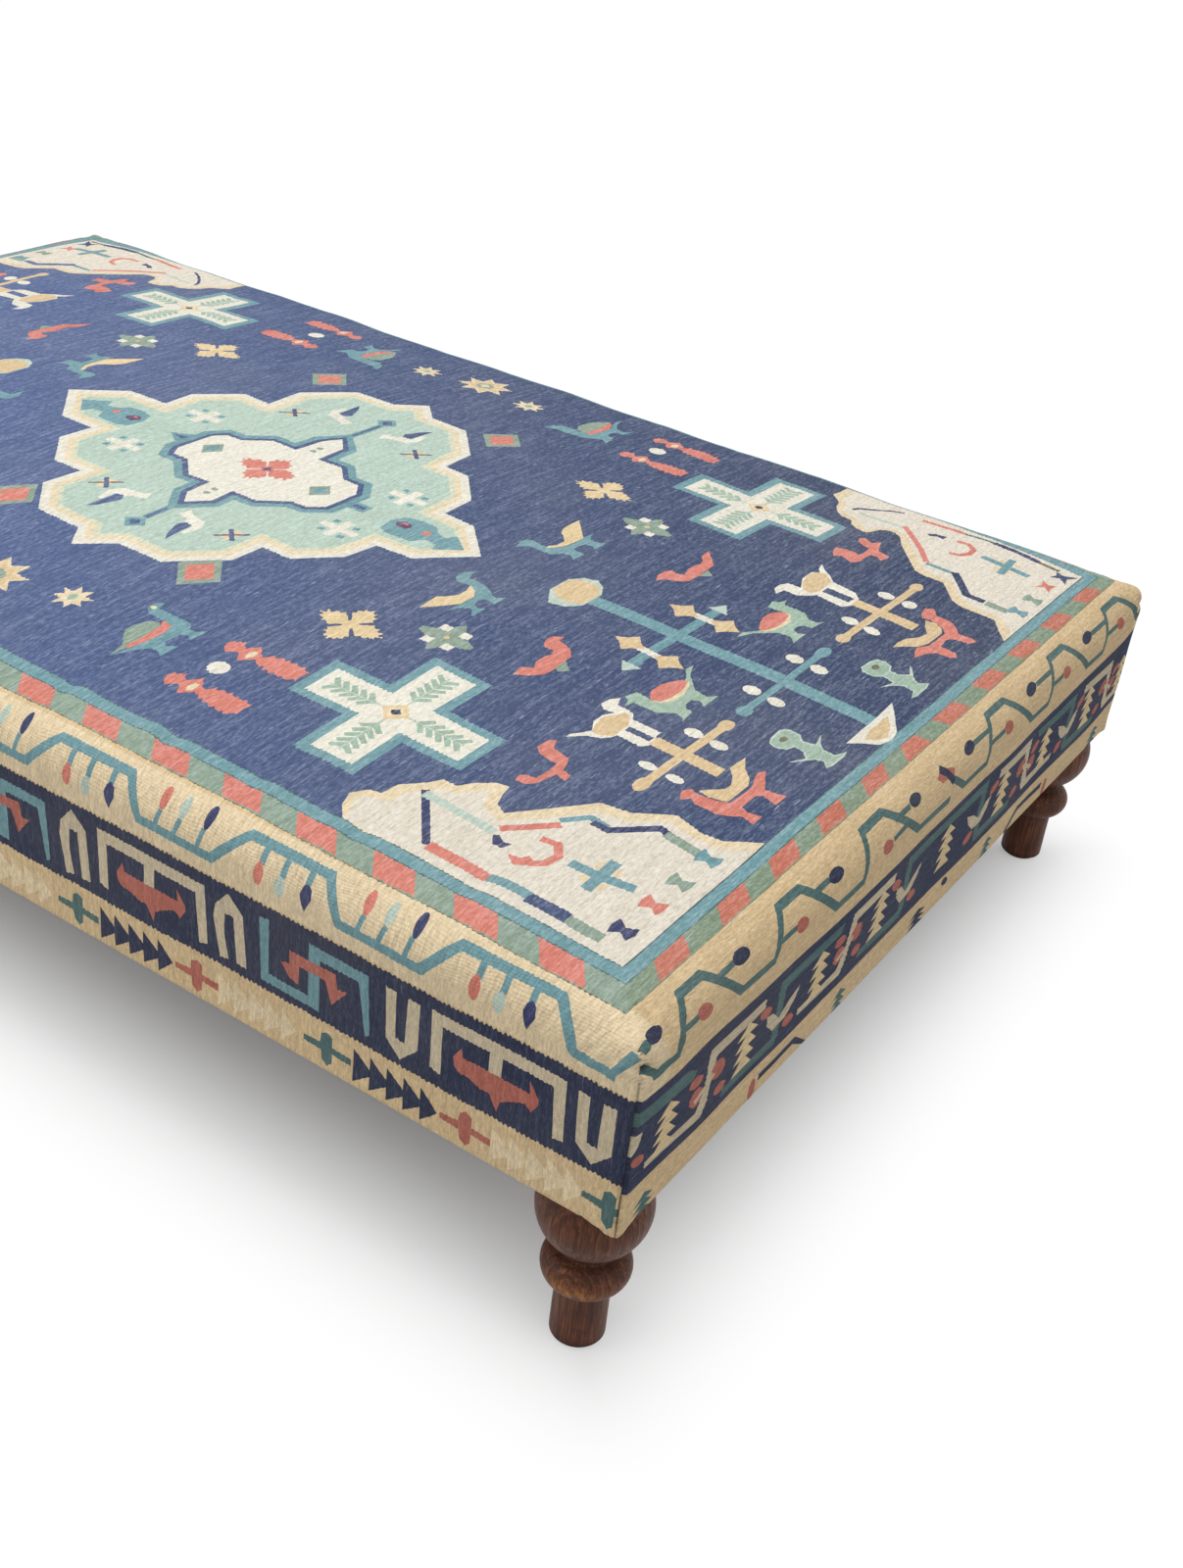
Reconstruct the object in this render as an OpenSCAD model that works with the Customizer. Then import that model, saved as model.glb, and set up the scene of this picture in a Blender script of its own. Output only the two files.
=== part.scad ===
/* [Overall] */
// Length over the kilim cover at the frame, along X
body_l = 1425; // [900:5:1800]
// Width over the kilim cover at the frame, along Y
body_w = 900; // [600:5:1200]

/* [Legs] */
// Height of a turned leg from the floor to the frame, felt pad included
leg_h = 152; // [135:1:200]
// Distance from the cover's side faces to the leg's axis
leg_inset = 41; // [38:1:60]
// Radius of the ball at the top of the leg
ball_r = 41; // [36:0.5:44]
// Height of the ball's cut top above the ball's centre
ball_cap = 26.5; // [20:0.5:34]
// Largest radius of the bead under the ball
bead_r = 32.5; // [30:0.5:38]
// Radius of the bead's round edge above its widest line
bead_upper_r = 14; // [10:0.5:16]
// Radius of the bead's round edge below its widest line
bead_lower_r = 16.5; // [12:0.5:20]
// Radius of the neck between ball and bead
neck_r = 19.4; // [14:0.2:22]
// Height of the neck
neck_h = 6; // [3:0.5:12]
// Radius of the foot where it leaves the bead
foot_top_r = 19.8; // [17:0.2:24]
// Radius of the foot at the floor
foot_r = 20.2; // [17:0.2:24]
// Radius of the eased edge round the bottom of the foot
foot_ease = 3; // [1:0.5:5]
// Thickness of the felt pad under the foot
felt_t = 2; // [1.5:0.5:6]
// Radius of the felt pad
felt_r = 16; // [12:0.5:16.5]

/* [Leg fixings] */
// Radius of the hanger bolt
bolt_r = 4; // [3:0.5:5]
// Length of the bolt that is screwed into the leg
bolt_in_leg = 40; // [30:1:50]
// Length of the bolt that goes up into the threaded insert
bolt_in_frame = 26; // [18:1:30]
// Outer radius of the threaded insert
insert_r = 6; // [5.5:0.5:8]
// Length of the threaded insert
insert_l = 20; // [14:1:24]

/* [Frame] */
// Thickness of the rails
rail_t = 22; // [18:1:25]
// Height of the outer rails
rail_h = 80; // [70:1:110]
// Height of the two cross rails
cross_h = 55; // [40:1:60]
// Drop of the cross rails below the top of the outer rails
cross_drop = 14; // [10:1:20]
// Distance between the two cross rails
cross_spacing = 450; // [200:5:600]
// Width of a corner block along each rail
block_w = 52; // [48:1:70]
// Height of the corner blocks
block_h = 76; // [60:1:80]
// Cut across the inner edge of a corner block
block_cut = 14; // [6:1:18]
// Radius of the eased outer corners of the frame
frame_ease = 6; // [3:0.5:10]

/* [Frame fixings] */
// Radius of the dowels
dowel_r = 5; // [3:0.5:6]
// Length of the dowels
dowel_l = 40; // [30:1:50]
// Depth of a dowel in the face of a long rail
dowel_in_face = 12; // [8:1:14]
// Distance of a dowel from the upper or lower edge of its rail
dowel_edge = 15; // [10:1:18]
// Radius of the corner block screws
screw_r = 2.5; // [1.5:0.25:3]
// Radius of the screws' countersunk heads
screw_head_r = 4.8; // [4:0.1:5.5]
// Depth of a screw's point in a rail
screw_in_rail = 14; // [10:1:16]
// Distance of the screws from the inside corner of the rails
screw_along = 28; // [22:1:32]
// Height of the lower screws above the bottom of the block
screw_low = 34; // [32:1:40]
// Height of the upper screws above the lower ones
screw_rise = 24; // [18:1:26]
// Height by which the screws into an end rail clear those into a long rail
screw_step = 11; // [10.5:0.5:12]

/* [Seat deck] */
// Width of a webbing strap
strap_w = 56; // [40:1:60]
// Thickness of a webbing strap
strap_t = 2; // [1.5:0.25:2.5]
// Straps that run along the length
straps_long = 7; // [4:1:8]
// Straps that run across the width
straps_cross = 12; // [8:1:13]
// Thickness of the hessian over the webbing
hessian_t = 1; // [0.8:0.1:2]

/* [Upholstery] */
// Thickness of the foam at its edges
foam_t = 66; // [50:1:90]
// Rise of the crowned top above its edges
crown = 19; // [8:1:30]
// Thickness of the fibre wadding
wadding_t = 6; // [4:0.5:10]
// Thickness of the calico lining
lining_t = 1; // [0.8:0.1:2]
// Thickness of the woven kilim
kilim_t = 3; // [2:0.5:4]
// Radius of the cover's rolled top edge
edge_r = 36; // [30:1:50]
// Radius of the cover's upright corners
corner_r = 14; // [12:0.5:20]
// Radius of the cover's top corners, in plan
top_corner_r = 34; // [24:1:60]
// Depth of the fold drawn in at the head of each corner seam
corner_tuck = 4; // [0:0.5:6]
// Width of the hem that is turned under the frame
hem_w = 34; // [24:1:36]
// Thickness of the dust cover
dust_t = 1; // [0.8:0.1:2]

/* [Clearances] */
// Gap between one soft layer and the next
layer_gap = 0.3; // [0.2:0.05:0.6]
// Gap round the leg where the hem and dust cover are cut away
leg_gap = 0.6; // [0.4:0.1:2]

/* [Hidden] */

round_fn = 96;
small_fn = 32;

// The layers from the outside inwards, each as its inset from the cover's outer face
lining_in = kilim_t + layer_gap;
wadding_in = lining_in + lining_t + layer_gap;
foam_in = wadding_in + wadding_t + layer_gap;

// The frame, outside and inside
frame_l = body_l - 2 * foam_in;
frame_w = body_w - 2 * foam_in;
inner_l = frame_l - 2 * rail_t;
inner_w = frame_w - 2 * rail_t;
rail_top = leg_h + rail_h;

// The deck: the straps weave half a strap up and down from their rest height
weave = (strap_t + layer_gap) / 2;
strap_z = rail_top + strap_t / 2;
hessian_z = strap_z + weave + strap_t / 2 + layer_gap;
foam_z = hessian_z + hessian_t + layer_gap;
top_z = foam_z + foam_t + foam_in;

// The leg's outline, upwards from the floor
ball_z = leg_h - ball_cap;
upper_centre_r = bead_r - bead_upper_r;
lower_centre_r = bead_r - bead_lower_r;
neck_to_ball = sqrt(ball_r * ball_r - neck_r * neck_r);
neck_to_bead = sqrt(bead_upper_r * bead_upper_r - pow(max(0, neck_r - upper_centre_r), 2));
bead_z = ball_z - neck_to_ball - neck_h - neck_to_bead;
leg_x = body_l / 2 - leg_inset;
leg_y = body_w / 2 - leg_inset;

// Where the hem and the dust cover are cut away round a leg
hem_bottom = leg_h - kilim_t;
dust_bottom = hem_bottom - dust_t - layer_gap;
leg_cut_r = sqrt(ball_r * ball_r - pow(dust_bottom - ball_z, 2)) + leg_gap;

// The cross rails stand either side of the middle
cross_x = cross_spacing / 2;
cross_z = rail_top - cross_drop - cross_h;

// Corners as a name's signs along X and Y
function corner_x(side) = side[0] * leg_x;
function corner_y(side) = side[1] * leg_y;
CORNERS = [[-1, -1], [1, -1], [-1, 1], [1, 1]];

module at_corners() {
    for (side = CORNERS)
        translate([side[0] * frame_l / 2, side[1] * frame_w / 2, 0])
            mirror([side[0] > 0 ? 1 : 0, 0, 0])
                mirror([0, side[1] > 0 ? 1 : 0, 0])
                    children();
}

module at_legs() {
    for (side = CORNERS)
        translate([corner_x(side), corner_y(side), 0])
            children();
}

// The turned outline: ball, neck, bead and foot, from the axis outwards
module leg_outline() {
    intersection() {
        translate([0, felt_t])
            square([ball_r + 1, leg_h - felt_t]);
        union() {
            translate([0, ball_z])
                circle(r = ball_r, $fn = round_fn);
            translate([0, bead_z])
                square([neck_r, ball_z - bead_z]);
            bead_half(upper_centre_r, bead_upper_r, 1);
            bead_half(lower_centre_r, bead_lower_r, -1);
            foot_outline();
        }
    }
}

// One half of the bead, over or under its widest line
module bead_half(centre_r, edge, way) {
    low_z = way > 0 ? bead_z : bead_z - edge;
    translate([0, low_z])
        square([centre_r, edge]);
    intersection() {
        translate([centre_r, bead_z])
            circle(r = edge, $fn = round_fn);
        translate([0, low_z])
            square([bead_r + 1, edge]);
    }
}

// The foot comes down to its eased edge
module foot_outline() {
    ease_z = felt_t + foot_ease;
    polygon([[0, felt_t], [foot_r - foot_ease, felt_t], [foot_r - foot_ease, ease_z],
             [foot_r, ease_z], [foot_top_r, bead_z], [0, bead_z]]);
    translate([foot_r - foot_ease, ease_z])
        circle(r = foot_ease, $fn = small_fn);
}

module turned_leg(side) {
    color("#4a2a1a")
        translate([corner_x(side), corner_y(side), 0])
            difference() {
                rotate_extrude($fn = round_fn)
                    intersection() {
                        leg_outline();
                        square([ball_r + 1, leg_h]);
                    }
                translate([0, 0, leg_h - bolt_in_leg])
                    cylinder(r = bolt_r, h = bolt_in_leg + 1, $fn = small_fn);
            }
}

module felt_pads() {
    color("#6b6259")
        at_legs()
            cylinder(r = felt_r, h = felt_t, $fn = small_fn * 2);
}

module hanger_bolts() {
    color("#b9bcc0")
        at_legs()
            translate([0, 0, leg_h - bolt_in_leg])
                cylinder(r = bolt_r, h = bolt_in_leg + bolt_in_frame, $fn = small_fn);
}

module threaded_inserts() {
    color("#c9a45a")
        at_legs()
            translate([0, 0, leg_h])
                difference() {
                    cylinder(r = insert_r, h = insert_l, $fn = small_fn);
                    translate([0, 0, -1])
                        cylinder(r = bolt_r, h = insert_l + 2, $fn = small_fn);
                }
}

// Rows of dowels at the frame's joints: two at each end of a rail that runs across
module dowel_pair(x, low_z, high_z) {
    for (end = [-1, 1], z = [low_z, high_z])
        translate([x, end * (inner_w / 2 + dowel_in_face - dowel_l / 2), z])
            rotate([90, 0, 0])
                cylinder(r = dowel_r, h = dowel_l, center = true, $fn = small_fn);
}

module all_dowels() {
    end_x = frame_l / 2 - rail_t / 2;
    for (side = [-1, 1]) {
        dowel_pair(side * end_x, leg_h + dowel_edge, rail_top - dowel_edge);
        dowel_pair(side * cross_x, cross_z + dowel_edge, cross_z + cross_h - dowel_edge);
    }
}

module rail_dowels() {
    color("#d9bb8c")
        all_dowels();
}

// One long rail, its outer corners eased
module long_rail(side) {
    color("#c9a672")
        difference() {
            translate([0, 0, leg_h])
                linear_extrude(rail_h)
                    intersection() {
                        frame_plan();
                        translate([-frame_l / 2, side > 0 ? inner_w / 2 : -frame_w / 2])
                            square([frame_l, rail_t]);
                    }
            all_dowels();
            all_screws();
        }
}

module frame_plan() {
    far_x = frame_l / 2 - frame_ease;
    far_y = frame_w / 2 - frame_ease;
    square([frame_l - 2 * frame_ease, frame_w], center = true);
    square([frame_l, frame_w - 2 * frame_ease], center = true);
    for (side = CORNERS)
        translate([side[0] * far_x, side[1] * far_y])
            circle(r = frame_ease, $fn = small_fn);
}

module end_rail(side) {
    color("#c9a672")
        difference() {
            translate([side > 0 ? frame_l / 2 - rail_t : -frame_l / 2, -inner_w / 2, leg_h])
                cube([rail_t, inner_w, rail_h]);
            all_dowels();
            all_screws();
        }
}

module cross_rail(side) {
    color("#c2a06d")
        difference() {
            translate([side * cross_x - rail_t / 2, -inner_w / 2, cross_z])
                cube([rail_t, inner_w, cross_h]);
            all_dowels();
        }
}

// A corner block stands in the corner of the frame and takes the leg's insert
module corner_block(side) {
    inner_x = side[0] * inner_l / 2;
    inner_y = side[1] * inner_w / 2;
    color("#b99463")
        difference() {
            translate([inner_x, inner_y, leg_h])
                mirror([side[0] > 0 ? 1 : 0, 0, 0])
                    mirror([0, side[1] > 0 ? 1 : 0, 0])
                        linear_extrude(block_h)
                            polygon([[0, 0], [block_w, 0], [block_w, block_w - block_cut],
                                     [block_w - block_cut, block_w], [0, block_w]]);
            translate([corner_x(side), corner_y(side), leg_h - 1])
                cylinder(r = insert_r, h = insert_l + 1, $fn = small_fn);
            translate([corner_x(side), corner_y(side), leg_h])
                cylinder(r = bolt_r, h = bolt_in_frame + 2, $fn = small_fn);
            all_screws();
        }
}

// A countersunk screw along +X, its head's face at the origin
module block_screw(length) {
    head_h = screw_head_r - screw_r;
    rotate([0, 90, 0]) {
        cylinder(r1 = screw_head_r, r2 = screw_r, h = head_h, $fn = small_fn);
        cylinder(r = screw_r, h = length, $fn = small_fn);
    }
}

// Two screws from each block into each of its rails, clear of one another
module all_screws() {
    length = block_w + screw_in_rail;
    at_corners()
        translate([rail_t, rail_t, 0])
            for (n = [0, 1]) {
                end_z = leg_h + screw_low + n * screw_rise;
                translate([block_w, screw_along, end_z])
                    mirror([1, 0, 0])
                        block_screw(length);
                translate([screw_along, block_w, end_z + screw_step])
                    rotate([0, 0, -90])
                        block_screw(length);
            }
}

module corner_screws() {
    color("#8d8f92")
        all_screws();
}

// Webbing: strap n of count lies at this place across the span
function strap_at(n, count, span) = span * ((n + 0.5) / count - 0.5);

// A strap's centre line: up over every second strap that it crosses and down under the others
function weave_line(count, span, reach, first) = [
    [-reach, 0],
    for (n = [0 : count - 1])
        let (
            centre = strap_at(n, count, span),
            up = ((n + first) % 2 == 0) ? weave : -weave
        )
        each [[centre - strap_w / 2 - 1, up], [centre + strap_w / 2 + 1, up]],
    [reach, 0]
];

// The line given its thickness: its points shifted down, then back along them shifted up
function thick_line(line) = concat(
    [for (p = line) [p[0], p[1] - strap_t / 2]],
    [for (n = [len(line) - 1 : -1 : 0]) [line[n][0], line[n][1] + strap_t / 2]]
);

module strap(line) {
    rotate([90, 0, 0])
        linear_extrude(strap_w, center = true)
            polygon(thick_line(line));
}

module webbing_lengthwise() {
    color("#b08d57")
        for (n = [0 : straps_long - 1])
            translate([0, strap_at(n, straps_long, inner_w), strap_z])
                strap(weave_line(straps_cross, inner_l, frame_l / 2 - frame_ease, n));
}

module webbing_crosswise() {
    color("#a98650")
        for (n = [0 : straps_cross - 1])
            translate([strap_at(n, straps_cross, inner_l), 0, strap_z])
                rotate([0, 0, 90])
                    strap(weave_line(straps_long, inner_w, frame_w / 2 - frame_ease, n + 1));
}

module hessian_deck() {
    color("#bfa476")
        translate([0, 0, hessian_z])
            linear_extrude(hessian_t)
                frame_plan();
}

// Soft layers are stacks of rings. A ring is a rounded rectangle with the same number of
// points at every level, and a layer's surface runs from its bottom ring, up the side, over
// the rolled edge and in to a ridge along the middle of the crowned top.
arc_steps = 4;
long_steps = 12;
short_steps = 8;

// Points of one quarter's corner arc about its centre, its middle point drawn in by the tuck
function arc_points(cx, cy, r, from, tuck) = [
    for (n = [0 : arc_steps])
        let (a = from + 90 * n / arc_steps, d = r - (n == arc_steps / 2 ? tuck : 0))
        [cx + d * cos(a), cy + d * sin(a)]
];

// Points strictly between two places on a straight run
function between(p, q, steps) = [for (n = [1 : steps - 1]) p + (q - p) * n / steps];

// A ring with half length a, half width b and corner radius r, anticlockwise
function ring_plan(a, b, r, tuck = 0) =
    let (x = a - r, y = b - r)
    concat(
        arc_points(x, y, r, 0, tuck), between([x, b], [-x, b], long_steps),
        arc_points(-x, y, r, 90, tuck), between([-a, y], [-a, -y], short_steps),
        arc_points(-x, -y, r, 180, tuck), between([-x, -b], [x, -b], long_steps),
        arc_points(x, -y, r, 270, tuck), between([a, -y], [a, y], short_steps)
    );

// The rolled edge turns until it meets the slope of the crown
roll_turn = 90 - atan(4 * crown / body_w);
roll_in = edge_r * (1 - cos(roll_turn));
flat_l = body_l / 2 - roll_in;
flat_w = body_w / 2 - roll_in;

// The crown's share of its full rise at a place on the top
function crown_share(x, y) =
    let (u = min(1, abs(x) / flat_l), v = min(1, abs(y) / flat_w))
    (1 - u * u) * (1 - v * v);

// The levels of a layer whose surface lies this far in from the cover's own surface:
// [inset of the outline, height, corner radius, share of the tuck]
edge_steps = 4;
top_shares = [0.22, 0.5, 0.8, 1];
function levels(inset, low_z) =
    let (
        roll = edge_r - inset,
        base = top_z - edge_r,
        upright = corner_r - inset,
        plan = top_corner_r - inset
    )
    concat(
        [[inset, low_z, upright, 0], [inset, (low_z + base) / 2, upright, 0.2]],
        [for (n = [0 : edge_steps])
            let (turn = roll_turn * n / edge_steps, share = n / edge_steps)
            [inset + roll * (1 - cos(turn)), base + roll * sin(turn),
             upright + (plan - upright) * share, n == 0 ? 1 : n == 1 ? 0.4 : 0]],
        [for (share = top_shares)
            let (d = roll_in + flat_w * share)
            [d, base + roll * sin(roll_turn), min(0.8 * flat_w * (1 - share), plan + 180 * share), 0]]
    );

// A level's ring in space, raised by the crown where it lies on the top
function ring_at(level, inset) =
    let (
        half_l = body_l / 2 - level[0],
        half_w = max(ridge_w, body_w / 2 - level[0]),
        r = max(ridge_w / 4, level[2]),
        tuck = corner_tuck * (1 - inset / foam_in) * level[3]
    )
    [for (p = ring_plan(half_l, half_w, r, tuck))
        [p[0], p[1], level[1] + crown * crown_share(p[0], p[1])]];

// Half the width of the last ring, round the ridge
ridge_w = 4;

function ring_stack(inset, low_z) = [for (level = levels(inset, low_z)) ring_at(level, inset)];

// The side faces between neighbouring rings, as triangles that look outwards
function wall_faces(rings, size, start, flip) = [
    for (k = [0 : rings - 2], n = [0 : size - 1])
        let (
            a = start + k * size + n,
            b = start + k * size + (n + 1) % size,
            c = b + size,
            d = a + size
        )
        each (flip ? [[a, b, c], [a, c, d]] : [[a, c, b], [a, d, c]])
];

// The narrow top ring is closed by a strip between its long sides and a fan at either end
function ridge_faces(size, start, flip) =
    let (
        top_a = arc_steps + 1,
        top_b = arc_steps + long_steps - 1,
        low_b = size - short_steps - arc_steps - 1,
        low_a = low_b - long_steps + 2
    )
    [for (f = concat(
        [for (n = [low_b : size + top_a - 2]) [top_a, n % size, (n + 1) % size]],
        [for (n = [top_b + 1 : low_a - 1]) [top_b, n, n + 1]],
        [for (k = [0 : long_steps - 3]) [top_a + k, top_a + k + 1, low_b - k - 1]],
        [for (k = [0 : long_steps - 3]) [top_a + k, low_b - k - 1, low_b - k]]
    ))
        [start + f[0], start + f[flip ? 1 : 2], start + f[flip ? 2 : 1]]];

// A solid layer between its own surface and a flat bottom
module solid_layer(inset, low_z) {
    rings = ring_stack(inset, low_z);
    size = len(rings[0]);
    count = len(rings);
    polyhedron(
        points = [for (ring = rings) each ring],
        faces = concat(
            ridge_faces(size, 0, true),
            wall_faces(count, size, 0, false),
            ridge_faces(size, (count - 1) * size, false)
        )
    );
}

// A shell of this thickness, open underneath
module shell_layer(inset, thickness, low_z) {
    outer = ring_stack(inset, low_z);
    inner = ring_stack(inset + thickness, low_z);
    size = len(outer[0]);
    count = len(outer);
    second = count * size;
    rim = [for (n = [0 : size - 1])
        let (m = (n + 1) % size)
        each [[n, m, second + m], [n, second + m, second + n]]];
    polyhedron(
        points = concat([for (ring = outer) each ring], [for (ring = inner) each ring]),
        faces = concat(
            rim,
            wall_faces(count, size, 0, false),
            ridge_faces(size, second - size, false),
            wall_faces(count, size, second, true),
            ridge_faces(size, 2 * second - size, true)
        )
    );
}

module foam_pad() {
    color("#efe6c9")
        solid_layer(foam_in, foam_z);
}

module fibre_wadding() {
    color("#f4f2ec")
        shell_layer(wadding_in, wadding_t, leg_h);
}

module calico_lining() {
    color("#e6dcc4")
        shell_layer(lining_in, lining_t, leg_h);
}

// The hem's plan: cut away round the legs, its inner edge a plain rectangle
module hem_plan() {
    difference() {
        polygon(ring_plan(body_l / 2, body_w / 2, corner_r));
        square([body_l - 2 * hem_w, body_w - 2 * hem_w], center = true);
        at_legs()
            circle(r = leg_cut_r, $fn = round_fn);
    }
}

// The dust cover's plan: it laps half the hem and stops short of the legs at its corners
module dust_plan() {
    difference() {
        square([body_l - hem_w, body_w - hem_w], center = true);
        for (side = CORNERS)
            translate([corner_x(side), corner_y(side)]) {
                circle(r = leg_cut_r, $fn = round_fn);
                mirror([side[0] < 0 ? 1 : 0, 0, 0])
                    mirror([0, side[1] < 0 ? 1 : 0, 0])
                        translate([-leg_cut_r * sin(45), -leg_cut_r * sin(45)])
                            square(2 * leg_inset + leg_cut_r);
            }
    }
}

module kilim_cover() {
    color("#3f4a78")
        shell_layer(0, kilim_t, leg_h);
    color("#c8a66c")
        translate([0, 0, hem_bottom])
            linear_extrude(kilim_t)
                hem_plan();
}

module dust_cover() {
    color("#24221f")
        translate([0, 0, dust_bottom])
            linear_extrude(dust_t)
                dust_plan();
}

turned_leg([-1, -1]);  // leg_front_left
turned_leg([1, -1]);  // leg_front_right
turned_leg([-1, 1]);  // leg_back_left
turned_leg([1, 1]);  // leg_back_right
felt_pads();
hanger_bolts();
threaded_inserts();
long_rail(-1);  // front_rail
long_rail(1);  // back_rail
end_rail(-1);  // left_rail
end_rail(1);  // right_rail
cross_rail(-1);  // cross_rail_left
cross_rail(1);  // cross_rail_right
corner_block([-1, -1]);  // corner_block_front_left
corner_block([1, -1]);  // corner_block_front_right
corner_block([-1, 1]);  // corner_block_back_left
corner_block([1, 1]);  // corner_block_back_right
rail_dowels();
corner_screws();
webbing_lengthwise();
webbing_crosswise();
hessian_deck();
foam_pad();
fibre_wadding();
calico_lining();
kilim_cover();
dust_cover();
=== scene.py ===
import bmesh
import bpy
import numpy as np
from mathutils import Matrix, Vector
from mathutils.geometry import delaunay_2d_cdt


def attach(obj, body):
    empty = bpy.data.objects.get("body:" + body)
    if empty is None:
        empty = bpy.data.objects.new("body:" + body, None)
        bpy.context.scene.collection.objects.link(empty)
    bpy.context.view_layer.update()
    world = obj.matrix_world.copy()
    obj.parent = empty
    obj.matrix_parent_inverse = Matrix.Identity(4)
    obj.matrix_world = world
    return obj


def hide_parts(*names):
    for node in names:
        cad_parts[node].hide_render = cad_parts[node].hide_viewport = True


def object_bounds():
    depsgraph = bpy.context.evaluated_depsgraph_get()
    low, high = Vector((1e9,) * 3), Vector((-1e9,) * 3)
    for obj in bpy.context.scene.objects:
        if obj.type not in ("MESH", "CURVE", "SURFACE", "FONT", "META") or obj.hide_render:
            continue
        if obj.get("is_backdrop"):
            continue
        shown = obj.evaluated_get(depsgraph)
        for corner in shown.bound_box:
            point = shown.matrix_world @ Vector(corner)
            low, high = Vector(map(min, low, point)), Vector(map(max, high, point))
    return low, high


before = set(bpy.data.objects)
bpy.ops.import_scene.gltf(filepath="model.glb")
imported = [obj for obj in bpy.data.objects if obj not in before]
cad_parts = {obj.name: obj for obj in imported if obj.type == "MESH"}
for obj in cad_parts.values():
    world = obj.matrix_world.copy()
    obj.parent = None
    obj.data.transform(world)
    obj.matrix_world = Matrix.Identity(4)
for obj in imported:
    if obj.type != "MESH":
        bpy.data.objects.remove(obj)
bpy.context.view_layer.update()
MM = 0.001


# The camera stands where the photograph was taken from, above and to the right of the near
# corner. It has a plain lens with no shift, and is turned a little in its own plane.
def placed(name, data):
    """A new object in the scene."""
    made = bpy.data.objects.new(name, data)
    bpy.context.scene.collection.objects.link(made)
    return made


def camera_axes(azimuth, elevation, roll):
    """The camera's right, up and backward axes: it looks down at the piece from this side and
    height, and then both cross axes turn by the roll in the picture's plane."""
    a, e, r = np.radians([azimuth, elevation, roll])
    backward = np.array([np.sin(a) * np.cos(e), -np.cos(a) * np.cos(e), np.sin(e)])
    right = np.cross(-backward, [0, 0, 1])
    right /= np.linalg.norm(right)
    up = np.cross(right, -backward)
    return np.cos(r) * right + np.sin(r) * up, np.cos(r) * up - np.sin(r) * right, backward


camera = placed("camera", bpy.data.cameras.new("camera"))
camera_place = (1.08987, -1.19703, 1.00128)
axes = camera_axes(azimuth=30.33, elevation=31.67, roll=7.06)
turned = Matrix([list(axis) for axis in axes]).transposed().to_4x4()
camera.matrix_world = Matrix.Translation(camera_place) @ turned
photo_height, focal_length, sensor = 1600, 1850.7, 36
camera.data.lens = focal_length / photo_height * sensor
camera.data.clip_start, camera.data.clip_end = 0.05, 50
bpy.context.scene.camera = camera


# The legs. Each is turned from one piece of dark walnut: a straight foot, a bead, a neck and a
# ball whose flat top meets the frame. Oiled and rubbed, paler where hands and feet have worn it.
leg_height, leg_x, leg_y = 152.0, 671.5, 409.0
felt_top, foot_r, foot_taper, foot_round, neck_r = 2.0, 20.2, 0.4, 3.0, 19.4
ball_z, ball_r = 125.5, 41.0
bead_z, bead_r, bead_below, bead_above = 69.38, 32.5, 16.5, 14.0


def leg_radius(z):
    """How far out the leg is at height z in mm: the largest of the foot's taper, the bead's two
    quarter rounds, the neck and the ball."""
    round_z = felt_top + foot_round
    taper = foot_r - foot_taper * (z - round_z) / (bead_z - round_z)
    edge = foot_r - foot_round + np.sqrt(np.maximum(0, foot_round**2 - (round_z - z) ** 2))
    foot = np.where(z < round_z, edge, np.where(z < bead_z, taper, 0))
    low, high = bead_z - z, z - bead_z
    lower = bead_r - bead_below + np.sqrt(np.maximum(0, bead_below**2 - low**2))
    lower = np.where((low > 0) & (low <= bead_below), lower, 0)
    upper = bead_r - bead_above + np.sqrt(np.maximum(0, bead_above**2 - high**2))
    upper = np.where((high >= 0) & (high <= bead_above), upper, 0)
    neck = np.where((z > bead_z) & (z < ball_z), neck_r, 0)
    ball = np.sqrt(np.maximum(0, ball_r**2 - (z - ball_z) ** 2))
    return np.maximum.reduce([foot, lower, upper, neck, ball])


def hump(value, middle, spread):
    """A smooth hump of height one: exp of minus the square of (value - middle) / spread."""
    return np.exp(-(((value - middle) / spread) ** 2))


def join_twins(mesh, gap):
    """Joins the corners of a mesh that lie closer than a gap in metres."""
    work = bmesh.new()
    work.from_mesh(mesh)
    bmesh.ops.remove_doubles(work, verts=work.verts, dist=gap)
    work.to_mesh(mesh)
    work.free()


def new_piece(name, corners, faces):
    """A smooth mesh object with these corners, in metres, and these faces, joined where they
    meet."""
    mesh = bpy.data.meshes.new(name)
    mesh.from_pydata(np.asarray(corners, float).tolist(), [], np.asarray(faces).tolist())
    join_twins(mesh, 2e-6)
    mesh.polygons.foreach_set("use_smooth", np.full(len(mesh.polygons), True))
    return placed(name, mesh)


def joined_rows(rows, cols):
    """The four-sided faces between neighbouring points of a grid whose rows are closed rings."""
    i, j = np.meshgrid(np.arange(rows - 1), np.arange(cols), indexing="ij")
    a, b = i * cols + j, i * cols + (j + 1) % cols
    return np.stack([a, b, b + cols, a + cols], -1).reshape(-1, 4)


def mark(mesh, label, value):
    """Stores a number or a place with each corner of a mesh, for its material to read."""
    kind, field = ("FLOAT", "value") if np.ndim(value) == 1 else ("FLOAT_VECTOR", "vector")
    mesh.attributes.new(label, kind, "POINT").data.foreach_set(field, np.ravel(value))


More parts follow.
